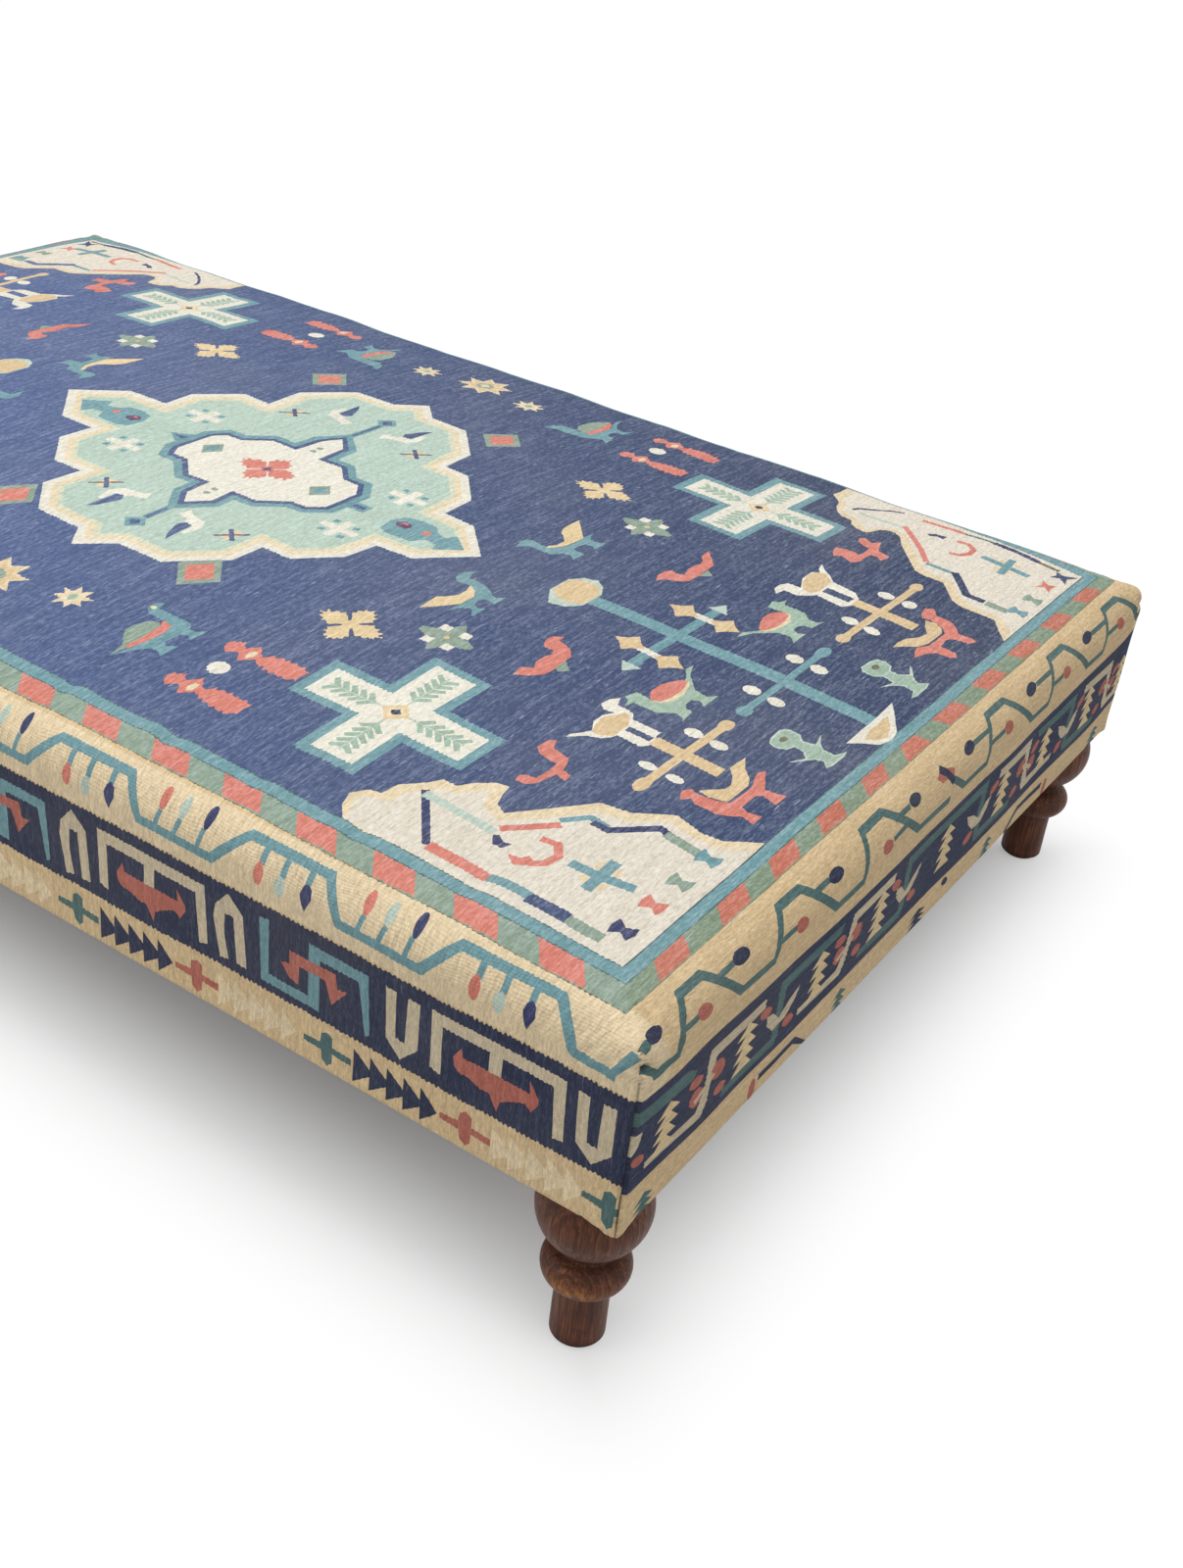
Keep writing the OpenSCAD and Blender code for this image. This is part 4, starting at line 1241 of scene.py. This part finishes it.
# The ends: the vine runs in steps with its buds on stems to one side, then hooks, serrated
# leaves and small birds on the dark band, and a row of small plants under it.
lay("""
deep band 7 -446 43 -432 56 -405 57 -398 38 -390 21.5 -364 21.5 -325 55 -281 56 -272 38 -264 23
    -235 23 -190 60 -148 60 -144 40 -140 23 -106 22 -52 61 8 62
deep band 6.4 6 42 34 61 80 61 82 42 91 21.5 126 21.5 177 60 215 60 219 42 227 21.5 262 21.5 311
    60 350 60 354 42 361 21.5 396 21.5 440 56 470 30
""", side="end", tooth=0.5)
for x0, y0, x1, y1, x, y, rx in (
    (-398, 43, -380, 43, -372, 44, 9.5), (-278, 45, -250, 45, -243, 47, 9),
    (-78, 45, -101, 47, -110, 49, 9.5), (84, 44, 113, 44, 122, 45, 10),
    (220, 44, 246, 44, 255, 45, 10), (353, 44, 381, 44, 390, 45, 10),
):
    bud = f"deep band 4.5 {x0} {y0} {x1} {y1} rust oval {x} {y} {rx} 6 20"
    lay(bud, side="end", tooth=0.5)
for x0, y0, x1, y1, x, y, rx, turn in (
    (-354, 31, -330, 31, -320, 31, 10.5, 6), (-222, 33, -200, 33, -190, 34, 10.5, 6),
    (-95, 34, -68, 34, -58, 33, 9.5, 6), (54, 32, 88, 32, 45, 32, 9.5, -4),
    (187, 31, 223, 31, 176, 31, 10.5, -4), (320, 31, 357, 31, 310, 31, 10.5, -4),
):
    bud = f"deep band 4.5 {x0} {y0} {x1} {y1} night oval {x} {y} {rx} 5.5 {turn}"
    lay(bud, side="end", tooth=0.5)
lay("""
deep band 4.5 -443 34.5 -436 31
night oval -428 29.5 9 5
rust patch -17 34 -8 28 14 36 11 42 -2 40 -10 40
night band 7 -9 28 0 35 10 47
deep patch -470 74 -440 79 -384 84 -372 92 -376 97 -440 91 -470 85
fawn patch -462 93 -449 97 -437 99 -439 109 -446 115 -460 112
rust oval -437 124 9 4.5 24
""", side="end", tooth=0.5)
lay("""
fawn patch -355 87 -283 87 -283 96 -345 97 -346 110 -350 118 -352 133 -358 142 -426 139 -427 133
    -366 133 -358 118 -357 108
rust oval -371 103 9 5 15
rust oval -341 111 10 8 20
rust oval -368 118 9 8 15
rust oval -334 132 8 5 10
fawn band 4 -370 122 -346 112
""", (0, 0, 1, 1), (203, 0, 1, 1), (44, 0, -1, 1), (-159, 0, -1, 1), side="end", tooth=1.6)
lay("""
deep patch -262 86 -166 86 -172 95 -251 96 -251 137 -255 145 -330 144 -330 137 -261 136
fawn patch -276 108 -266 110 -255 121 -243 113 -227 107 -232 117 -244 127 -262 128 -272 119
rust oval -279 102 9 5 20
rust oval -238 133 9 5 12
""", (0, 0, 1, 1), (205, 0, 1, 1), (44, 0, -1, 1), (-161, 0, -1, 1), side="end", tooth=1.2)
for w in (-405, -303, -197, -98, 27, 142, 241, 347, 436):
    lay(f"straw feather {w} 137 {w} 95 14 4", side="end", tooth=0.5)
lay("""
rust oval -278 172 5 10
night band 6 -270 166 -218 165 -196 182
deep feather -421 182 -421 162 12 3
deep feather -145 182 -145 160 11 3
night feather -5 180 -5 162 16 3
night oval 44 160 7 4 25
deep feather 135 180 135 160 11 3
night band 6 182 180 204 164 262 165
rust oval 272 172 5 10
deep feather 398 180 398 160 14 3
""", side="end", tooth=0.5)

# Then the cloth itself: the outlines are stepped from warp to warp as the weaver must, the flat
# cloth is cut into triangles along them, and every corner is carried to its place.
chance = np.random.default_rng(7)
warp_gap, longest, slit = 2.1, 7, 7


def turns_left(outline):
    """Whether an outline runs anticlockwise: the sign of its area."""
    x, y = outline.T
    return np.sum(x * np.roll(y, -1) - np.roll(x, -1) * y) > 0


def shared_out(outline, count):
    """Points that share out each edge of an outline evenly, each with the edge it stands on."""
    edge = np.roll(outline, -1, 0) - outline
    which = np.repeat(np.arange(len(outline)), count)
    part = (np.arange(count.sum()) - np.repeat(np.cumsum(count) - count, count)) / count[which]
    return outline[which] + edge[which] * part[:, None], which


def stepped(outline, depth):
    """The outline as it is woven: a new corner at every warp of its run along the cloth, moved
    up and down in turn by up to the depth, the less the steeper the edge."""
    edge = np.roll(outline, -1, 0) - outline
    run, far = np.abs(edge[:, 0]), np.hypot(*edge.T)
    count = np.maximum(np.round(run / warp_gap), np.ceil(far / longest))
    place, which = shared_out(outline, np.maximum(1, count).astype(int))
    flat = (run / np.maximum(far, 1e-6))[which]
    turn = np.where(np.round(place[:, 0] / warp_gap) % 2 == 0, 1, -1)
    swing = turn * (0.05 + 1.1 * chance.random(len(place)))
    place[:, 1] += depth * swing * flat**2
    place[:, 0] += 0.35 * (chance.random(len(place)) - 0.5)
    return place if turns_left(outline) else place[::-1]


def quarter_outline():
    """A quarter of the cut cloth's edge: along one hem, round the leg hole, up the corner seam
    and down it again on the other flap, and so to the middle of the next hem."""
    hole_s = bottom_s + leg_inset - leg_hole / np.sqrt(2) - fold_r
    seam = np.concatenate([
        np.linspace(roll_length, fold_s, 26),
        np.linspace(fold_s, bottom_s, 5)[1:],
        np.linspace(bottom_s, hole_s, 4)[1:],
    ])
    angle = np.linspace(np.pi / 4, np.pi - np.arcsin(slit / leg_hole), 24)[1:]
    paths = []
    for long in (True, False):
        one, other = (flat_x, flat_y) if long else (flat_y, flat_x)
        w = (length if long else width) - leg_inset + leg_hole * np.cos(angle)
        q, out = on_side(w, bottom_s + leg_inset - leg_hole * np.sin(angle) - fold_r, long)
        hem = np.linspace(q[-1], 0, 60)[1:]
        go = np.concatenate([np.full(len(seam), one + roll_length), q, hem])
        run = np.stack([go, np.concatenate([other + seam, out, np.full(59, out[-1])])], -1)
        paths.append(run if long else run[:, ::-1])
    return np.concatenate([paths[1][::-1], paths[0][1:]])


quarter = quarter_outline()
back_again = quarter[::-1]
cut = np.concatenate([
    quarter, (back_again * [-1, 1])[1:], (quarter * [-1, -1])[1:], (back_again * [1, -1])[1:-1]
])
outlines = [cut if turns_left(cut) else cut[::-1]]
outlines += [stepped(outline, tooth) for _, outline, tooth in woven]
ends = np.cumsum([len(o) for o in outlines])
starts = ends - [len(o) for o in outlines]
outer_x, outer_y = flat_x + hem_s, flat_y + hem_s
xs, ys = np.meshgrid(np.arange(-outer_x, outer_x, 10.0), np.arange(-outer_y, outer_y, 10.0))
loose = np.stack([xs, ys], -1).reshape(-1, 2) + chance.uniform(-2.5, 2.5, (xs.size, 2))
over_roll, over_fold = np.linspace(-4, roll_length + 3, 14), np.linspace(fold_s - 3, bottom_s + 2, 6)
lines = []
for row in np.concatenate([over_roll, over_fold]):
    x, y = np.arange(-flat_x - 52, flat_x + 52, 8.0), np.arange(-flat_y - 52, flat_y + 52, 8.0)
    for sign in (-1, 1):
        lines += [np.stack([x, np.full(len(x), sign * (flat_y + row))], -1)]
        lines += [np.stack([np.full(len(y), sign * (flat_x + row)), y], -1)]
lines = np.concatenate(lines) + chance.uniform(-0.2, 0.2, (sum(map(len, lines)), 2))
beside = np.array([0.7, 1.6, 3, 5, 7.5, 11, 15, 20, 26])
down = np.concatenate([np.arange(6, roll_length, 2.2), np.arange(roll_length + 1.5, fold_s, 4)])
inset, _, r = cover_ring(down)
flaps = []
for long in (True, False):
    reach = (length if long else width) - inset - r * (1 - np.pi / 4)
    q, out = on_side(reach[:, None] - beside, down[:, None] + 0 * beside, long)
    flap = np.stack([q, out] if long else [out, q], -1).reshape(-1, 2)
    flaps += [flap * [fx, fy] for fx in (-1, 1) for fy in (-1, 1)]
level = np.maximum(np.abs(loose[:, 0]) - flat_x, np.abs(loose[:, 1]) - flat_y)
upright = (level > roll_length + 5) & (level < fold_s - 5)
loose = loose[(level < -6) | upright | (level > bottom_s + 4)]
flat = np.concatenate(outlines + [loose, lines] + flaps)
corners = [Vector(p) for p in flat.tolist()]
loops = [list(range(a, b)) for a, b in zip(starts.tolist(), ends.tolist())]
cloth = delaunay_2d_cdt(corners, [], loops, 1, 1e-4, True)
place = np.array([(p.x, p.y) for p in cloth[0]])
owner = np.array([max(o) if 0 in o else -1 for o in cloth[5]])
faces = np.array(cloth[2])[owner >= 0]
owner = owner[owner >= 0]
used, faces = np.unique(faces, return_inverse=True)
faces, place = faces.reshape(-1, 3), place[used]


def slow_noise(x, y, size, seed):
    """A smooth wandering height of about plus or minus one: twelve plane waves of about one
    size in mm, each with its own direction and start."""
    own = np.random.default_rng(seed)
    turn, start = own.uniform(0, 2 * np.pi, (2, 12))
    size = size * own.uniform(0.7, 1.5, 12)
    along = x[:, None] * np.cos(turn) + y[:, None] * np.sin(turn)
    return np.sin(along * 2 * np.pi / size + start).sum(-1) / 3.2


def pull_and_pucker(u, v, s, short, on_long):
    """How far the cloth stands off its even shape: slow hollows, soft waves along the roll of a
    long side, short creases that run in from it, a drop towards each corner, puckers that fan
    from it, and at the top of the corner seam a small deep pocket between two swellings. Also
    how dark the seam's thread is, and the painted shade in the pocket and along the fold."""
    near_side, aside = v < 0, np.where(on_long, -short, short)
    waves = np.sin(u / 172 * 2 * np.pi + 0.6 * np.sin(u / 240)) * hump(s, 30, 26) * on_long
    waves *= np.where(near_side, 1.2, 0.4)
    hollow = 0.5 * slow_noise(u, v, 240, 3) + 0.35 * slow_noise(u, v, 90, 4)
    pulls = np.array([-575, -480, -392, -306, -214, -120, -30, 66, 163, 271, 352, 447, 540])
    depths = np.array([0.6, 1, 0.7, 1, 0.5, 0.8, 0.6, 0.7, 1.1, 1.3, 0.6, 0.8, 0.5])
    off = (u[:, None] - pulls) * np.array([1, -1] * 7)[:13]
    crease = (hump(off, 0, 8) - 0.6 * hump(off, 17, 10)) @ depths
    crease *= np.where(near_side, 2.4, 0.9) * hump(s, -34, 38) * on_long
    droop = 3.0 * hump(short, 0, 42) * hump(s, -2, 26)
    fan = np.sin(aside / 13 * 2 * np.pi / (1 + np.abs(s - 42) / 30) + 1.0)
    fan *= hump(short, 0, 50) * hump(s, 36, 26)
    pocket = hump(aside, 4.5, 5.0) * hump(s - 0.25 * aside, 43.5, 2.6)
    pocket *= np.where(near_side, 1, 0.35)
    swell = 2.6 * hump(aside, 0, 14) * hump(s, 32, 9) + 0.7 * hump(aside, -11, 8) * hump(s, 45, 7)
    fold = hump(s - 0.35 * aside, 45, 2.4) * hump(aside, 16, 12)
    seam = hump(short, 0, 1.5) * np.clip((s - 46) / 5, 0, 1) * (s < bottom_s)
    thread = hump(short, 0, 0.7) * np.clip((s - 46) / 4, 0, 1) * (s < bottom_s + 2)
    away = hollow * np.clip((fold_s - s) / 12, 0.15, 1) + waves + 0.9 * fan + 1.6 * swell
    away -= 8.0 * pocket + 1.1 * fold + 1.1 * seam + crease + droop
    # Painted shade: the pocket and the fold are darkened in the colour; the line on the seam is its
    # dark thread.
    dark = 0.55 * thread + 1.4 * np.maximum(0, pocket - 0.25) + 0.15 * fold
    return away, np.clip(dark, 0, 1)


step = 0.05
u, v = place.T
spot, s, short, on_long = cover_place(u, v)
ahead = cover_place(u - step * np.sign(u), v)[0] - spot
aside = cover_place(u, v - step * np.sign(v))[0] - spot
out = np.cross(-ahead * np.sign(u)[:, None], -aside * np.sign(v)[:, None])
out /= np.maximum(np.linalg.norm(out, axis=1, keepdims=True), 1e-9)
away, dark = pull_and_pucker(u, v, s, short, on_long)
spot = spot + out * away[:, None]
tip = hump(short, 0, 13) * np.clip((s - fold_s + 34) / 34, 0, 1)
spot[:, 2] -= 4.5 * tip * np.exp(-np.maximum(0, s - bottom_s) / 6)
kilim = bpy.data.meshes.new("kilim_upholstery")
kilim.from_pydata((spot * MM).tolist(), [], faces.tolist())

# Each woven shape has its own dye lot, and the blue field has painted light: it is made lighter to
# the left and near side and darker to the right and back. The cloth is also darker in the seams,
# with painted shade in the corner pocket and along the fold, and its top has more pale flecks than
# its sides.
names = ["sand"] + [dye for dye, _, _ in woven]
tint = np.array([colour(*dyes[name]) for name in names])
tint[:, :3] *= 1 + 0.05 * (chance.random((len(tint), 1)) - 0.5)
# Painted light: the blue field's colour is made lighter to the left and near side and darker to the
# right and back.
painted_light_gradient = 0.99 - 0.15 * np.clip(u / 500, -1.3, 1.3) - 0.10 * v / 400
blue = np.array([name == "field" for name in names])[owner]
tint = np.repeat(tint[owner], 3, axis=0)
tint[:, :3] *= np.where(np.repeat(blue, 3), painted_light_gradient[faces.ravel()] ** 2.2, 1.0)[:, None]
dye = kilim.color_attributes.new("dye", "FLOAT_COLOR", "CORNER")
dye.data.foreach_set("color", tint.ravel())
# The shadow mark: the seam's dark thread, and painted shade in the corner pocket and along the fold.
mark(kilim, "shadow", dark)
# The pale mix is full on the top and falls to a quarter of that down the sides.
mark(kilim, "top_pale_share", 1 - 0.75 * np.clip((s + 6) / 40, 0, 1))
flat_map = kilim.uv_layers.new(name="flat_cloth")
flat_map.data.foreach_set("uv", (place[faces.ravel()] * MM).ravel())
bake_map = kilim.uv_layers.new(name="OFBake")
half = 900
bake_map.data.foreach_set("uv", ((place[faces.ravel()] + half) / (2 * half)).ravel())
kilim.polygons.foreach_set("use_smooth", np.full(len(kilim.polygons), True))
join_twins(kilim, 2e-5)
cover = placed("kilim_upholstery", kilim)

# Its wool: fine wefts run across the rug and are beaten down over the warps, so it is pebbly
# with short streaks. The yarn was dyed in small lots, which changes its tone from row to row.
hand_weave, given, made = new_group("hand_weave", ["Place"], ["Streak", "Lot", "Fleck", "Height"])
tree, flat_place = hand_weave, given["Place"]


def weft_noise(share, scale, detail, rough):
    """Noise drawn out across the rug, the way that its wefts run, to one over this share."""
    drawn = place_maths(tree, "MULTIPLY", flat_place, (1.0, share, 1.0))
    return noise(tree, drawn, scale, detail, rough)


streak = weft_noise(0.28, 560.0, 3.0, 0.7)
lot = weft_noise(0.07, 260.0, 3.0, 0.75)
pebble = weft_noise(0.45, 640.0, 2.0, 0.6)
fleck = ranged(tree, weft_noise(0.12, 520.0, 2.0, 0.6), 0.62, 0.74)
across = node(tree, "ShaderNodeSeparateXYZ", {0: flat_place}).outputs[1]
wander = maths(tree, "MULTIPLY", noise(tree, flat_place, 24.0, 1.0), 5.0)
warps_in_metre = 400.0
warps = maths(tree, "MULTIPLY_ADD", across, warps_in_metre, wander)
warps = maths(tree, "ABSOLUTE", maths(tree, "SINE", maths(tree, "MULTIPLY", warps, np.pi)))
high = maths(tree, "MULTIPLY_ADD", warps, 0.16, maths(tree, "MULTIPLY", pebble, 0.75))
high = maths(tree, "MULTIPLY_ADD", streak, 0.7, high)
set_sockets(tree, made, {"Streak": streak, "Lot": lot, "Fleck": fleck, "Height": high})

wool, tree, shader = new_material(
    "kilim_wool", colour(214, 188, 146), 0.95,
    Sheen_Weight=0.05, Sheen_Roughness=0.5, Specular_IOR_Level=0.15,
)
flat_place = node(tree, "ShaderNodeUVMap", uv_map="flat_cloth").outputs[0]
weave = use_group(tree, hand_weave, Place=flat_place)
shade = marked(tree, "dye", "Color")
for level in (ranged(tree, weave["Streak"], 0.3, 0.7, 0.76, 1.24),
              ranged(tree, weave["Lot"], 0.3, 0.7, 0.86, 1.14)):
    shade = mixed(tree, 1.0, shade, level, "MULTIPLY")
pale = ranged(tree, maths(tree, "ADD", weave["Lot"], weave["Streak"]), 0.96, 1.44, 0.0, 0.32)
pale = maths(tree, "MAXIMUM", pale, maths(tree, "MULTIPLY", weave["Fleck"], 0.5))
# The pale mix is full on the top and a quarter as strong down the sides.
pale = maths(tree, "MULTIPLY", pale, marked(tree, "top_pale_share"))
shade = mixed(tree, pale, shade, colour(202, 210, 220))
faded = ranged(tree, noise(tree, flat_place, 5.0, 3.0), 0.42, 0.75, 0.0, 0.05)
shade = mixed(tree, faded, shade, colour(216, 206, 188))
# Painted shade in the pocket and fold, and the seam's dark thread, from the shadow mark.
shade = mixed(tree, marked(tree, "shadow"), shade, colour(34, 30, 26))
set_sockets(tree, shader, {"Base Color": shade})
bumped(tree, shader, weave["Height"], 0.0013, 0.9)
cover.data.materials.append(wool)
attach(cover, "root")
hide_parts("kilim_cover")


# The dust cover. Black non-woven cloth closes the underside: it laps the hem, is cut off at the
# corners beside the legs, and is stapled every 45 mm.
dust_cloth, tree, shader = new_material("dust_cloth", colour(38, 36, 34), 0.92, Sheen_Weight=0.2)
here = here_in(tree)
dots = node(tree, "ShaderNodeTexVoronoi", {"Vector": here, "Scale": 520.0}).outputs["Distance"]
shade = mixed(tree, noise(tree, here, 900.0, 4.0), colour(30, 28, 27), colour(58, 55, 52))
set_sockets(tree, shader, {"Base Color": tinted(tree, shade, dots, 0.4, colour(20, 19, 18))})
bumped(tree, shader, dots, 0.0003)


def dust_sheet():
    """A thin cloth between the hems: rings of its twelve-sided outline drawn in to the middle,
    sagging by the product of the two distances from its edges."""
    x, y = length - 17, width - 17
    notch = leg_inset + leg_hole * 0.7071
    cut_x, cut_y = length - notch, width - notch
    edge = np.array([
        (x, -cut_y), (x, cut_y), (cut_x, cut_y), (cut_x, y), (-cut_x, y), (-cut_x, cut_y),
        (-x, cut_y), (-x, -cut_y), (-cut_x, -cut_y), (-cut_x, -y), (cut_x, -y), (cut_x, -cut_y),
    ])
    far = np.hypot(*(np.roll(edge, -1, 0) - edge).T)
    rim, _ = shared_out(edge, np.maximum(2, np.ceil(far / 22)).astype(int))
    share = np.concatenate([[0], np.linspace(0.05, 1, 22), np.linspace(1, 0.05, 22), [0]])
    place = rim[None] * share[:, None, None]
    level = np.where(np.arange(len(share)) < 23, 147.7, 148.6)[:, None]
    slack = np.clip(1 - (np.abs(place) / [x - 24, y - 24]) ** 2, 0, 1)
    sag = 3.0 * slack[..., 0] * slack[..., 1]
    place = np.concatenate([place, (level - sag)[..., None]], -1)
    faces = joined_rows(len(share), len(rim))[:, ::-1]
    return new_piece("dust_sheet", place.reshape(-1, 3) * MM, faces)


dust_piece = dust_sheet()
dust_piece.data.materials.append(dust_cloth)
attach(dust_piece, "root")
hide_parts("dust_cover")


def staple_row():
    """Every staple is one short wire of six-sided section: along its crown and down both legs,
    laid at even steps along the four edges of the dust cover."""
    step, from_edge = 45.0, 22
    x, y = np.arange(-620, 621, step), np.arange(-360, 361, step)
    lines = []
    for sign in (-1, 1):
        at_y, at_x = sign * (width - from_edge), sign * (length - from_edge)
        lines.append(np.stack([x, 0 * x + at_y, 0 * x], -1))
        lines.append(np.stack([0 * y + at_x, y, 0 * y + np.pi / 2], -1))
    spots = np.concatenate(lines)
    spots[:, 2] += chance.uniform(-0.16, 0.16, len(spots))
    path = np.array([(-5.2, 0.9), (-5.1, 0.1), (-4.6, -0.3), (4.6, -0.3), (5.1, 0.1), (5.2, 0.9)])
    a = np.arange(6) * np.pi / 3
    along = path[:, None, 0] + 0 * a
    across = 0.55 * np.cos(a)[None] + 0 * along
    high = path[:, None, 1] + 0.35 * np.sin(a)
    one = np.stack([along, across, high], -1).reshape(-1, 3)
    c, s = np.cos(spots[:, 2])[:, None], np.sin(spots[:, 2])[:, None]
    x = spots[:, :1] + one[:, 0] * c - one[:, 1] * s
    y = spots[:, 1:2] + one[:, 0] * s + one[:, 1] * c
    z = 147.5 + one[:, 2] + 0 * x
    many = joined_rows(6, 6)[None] + len(one) * np.arange(len(spots))[:, None, None]
    return new_piece("staples", np.stack([x, y, z], -1).reshape(-1, 3) * MM, many.reshape(-1, 4))


staples = staple_row()
staples.data.materials.append(zinc)
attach(staples, "root")


# The floor and the light: a pale plain floor that keeps the shadow and fades to white just past
# the piece, a wide soft lamp overhead, weak ones at the front left and at the right, and an even
# sky.
def seen_in(tree):
    """One where a camera, mirror or glass ray looks, and zero where light only bounces."""
    path = node(tree, "ShaderNodeLightPath").outputs
    seen = maths(tree, "MAXIMUM", path["Is Camera Ray"], path["Is Glossy Ray"])
    return maths(tree, "MAXIMUM", seen, path["Is Transmission Ray"])


reach = 12
floor_mesh = bpy.data.meshes.new("floor")
floor_mesh.from_pydata(
    [(-reach, -reach, 0), (reach, -reach, 0), (reach, reach, 0), (-reach, reach, 0)],
    [], [(0, 1, 2, 3)],
)
floor = placed("floor", floor_mesh)
floor_paint, tree, shader = new_material(
    "floor_paint", (0.9, 0.9, 0.9, 1), 0.9, Specular_IOR_Level=0.1, Emission_Color=(1, 1, 1, 1)
)
seen = seen_in(tree)
here = place_maths(tree, "ABSOLUTE", here_in(tree))
here = place_maths(tree, "SUBTRACT", here, (length * MM, width * MM, 0.0))
past = place_maths(tree, "MAXIMUM", here, (0.0, 0.0, 0.0))
past = node(tree, "ShaderNodeVectorMath", {0: past}, operation="LENGTH").outputs["Value"]
under = node(tree, "ShaderNodeSeparateXYZ", {0: here}).outputs
under = maths(tree, "MINIMUM", maths(tree, "MAXIMUM", under[0], under[1]), 0.0)
from_edge = maths(tree, "ADD", past, under)
fade = ranged(tree, from_edge, -0.14, 0.10, interpolation_type="SMOOTHSTEP")
near = mixed(tree, fade, (0.9, 0.9, 0.91, 1), (0.0, 0.0, 0.0, 1))
glow = maths(tree, "MULTIPLY_ADD", fade, 0.96, 0.04)
set_sockets(tree, shader, {
    "Base Color": mixed(tree, seen, (0.5, 0.5, 0.5, 1), near),
    "Emission Strength": maths(tree, "MULTIPLY", glow, seen),
})
floor.data.materials.append(floor_paint)
floor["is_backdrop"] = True


def soft_lamp(name, place, aim, size, watts, tint):
    """A square lamp that faces a point."""
    lamp = bpy.data.lights.new(name, "AREA")
    lamp.shape, lamp.size, lamp.energy, lamp.color = "SQUARE", size, watts, tint
    made = placed(name, lamp)
    made.location = place
    made.rotation_mode = "QUATERNION"
    made.rotation_quaternion = (Vector(aim) - Vector(place)).to_track_quat("-Z", "Y")


middle = (0, 0, 0.2)
soft_lamp("key", (-0.25, 0.1, 3.6), middle, 2.4, 76, (1.0, 0.99, 0.97))
soft_lamp("fill", (-2.4, -3.2, 1.9), middle, 2.4, 46, (1.0, 0.97, 0.93))
soft_lamp("side", (3.3, -0.8, 1.4), middle, 2.0, 10, (1.0, 0.95, 0.88))
world = bpy.data.worlds.new("sky")
world.use_nodes = True
bpy.context.scene.world = world
tree = world.node_tree
set_sockets(tree, tree.nodes["Background"], {
    "Strength": ranged(tree, seen_in(tree), 0.0, 1.0, 0.5, 1.0), "Color": (1, 1, 1, 1)
})

bpy.context.scene.view_settings.view_transform = "Standard"
low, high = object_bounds()
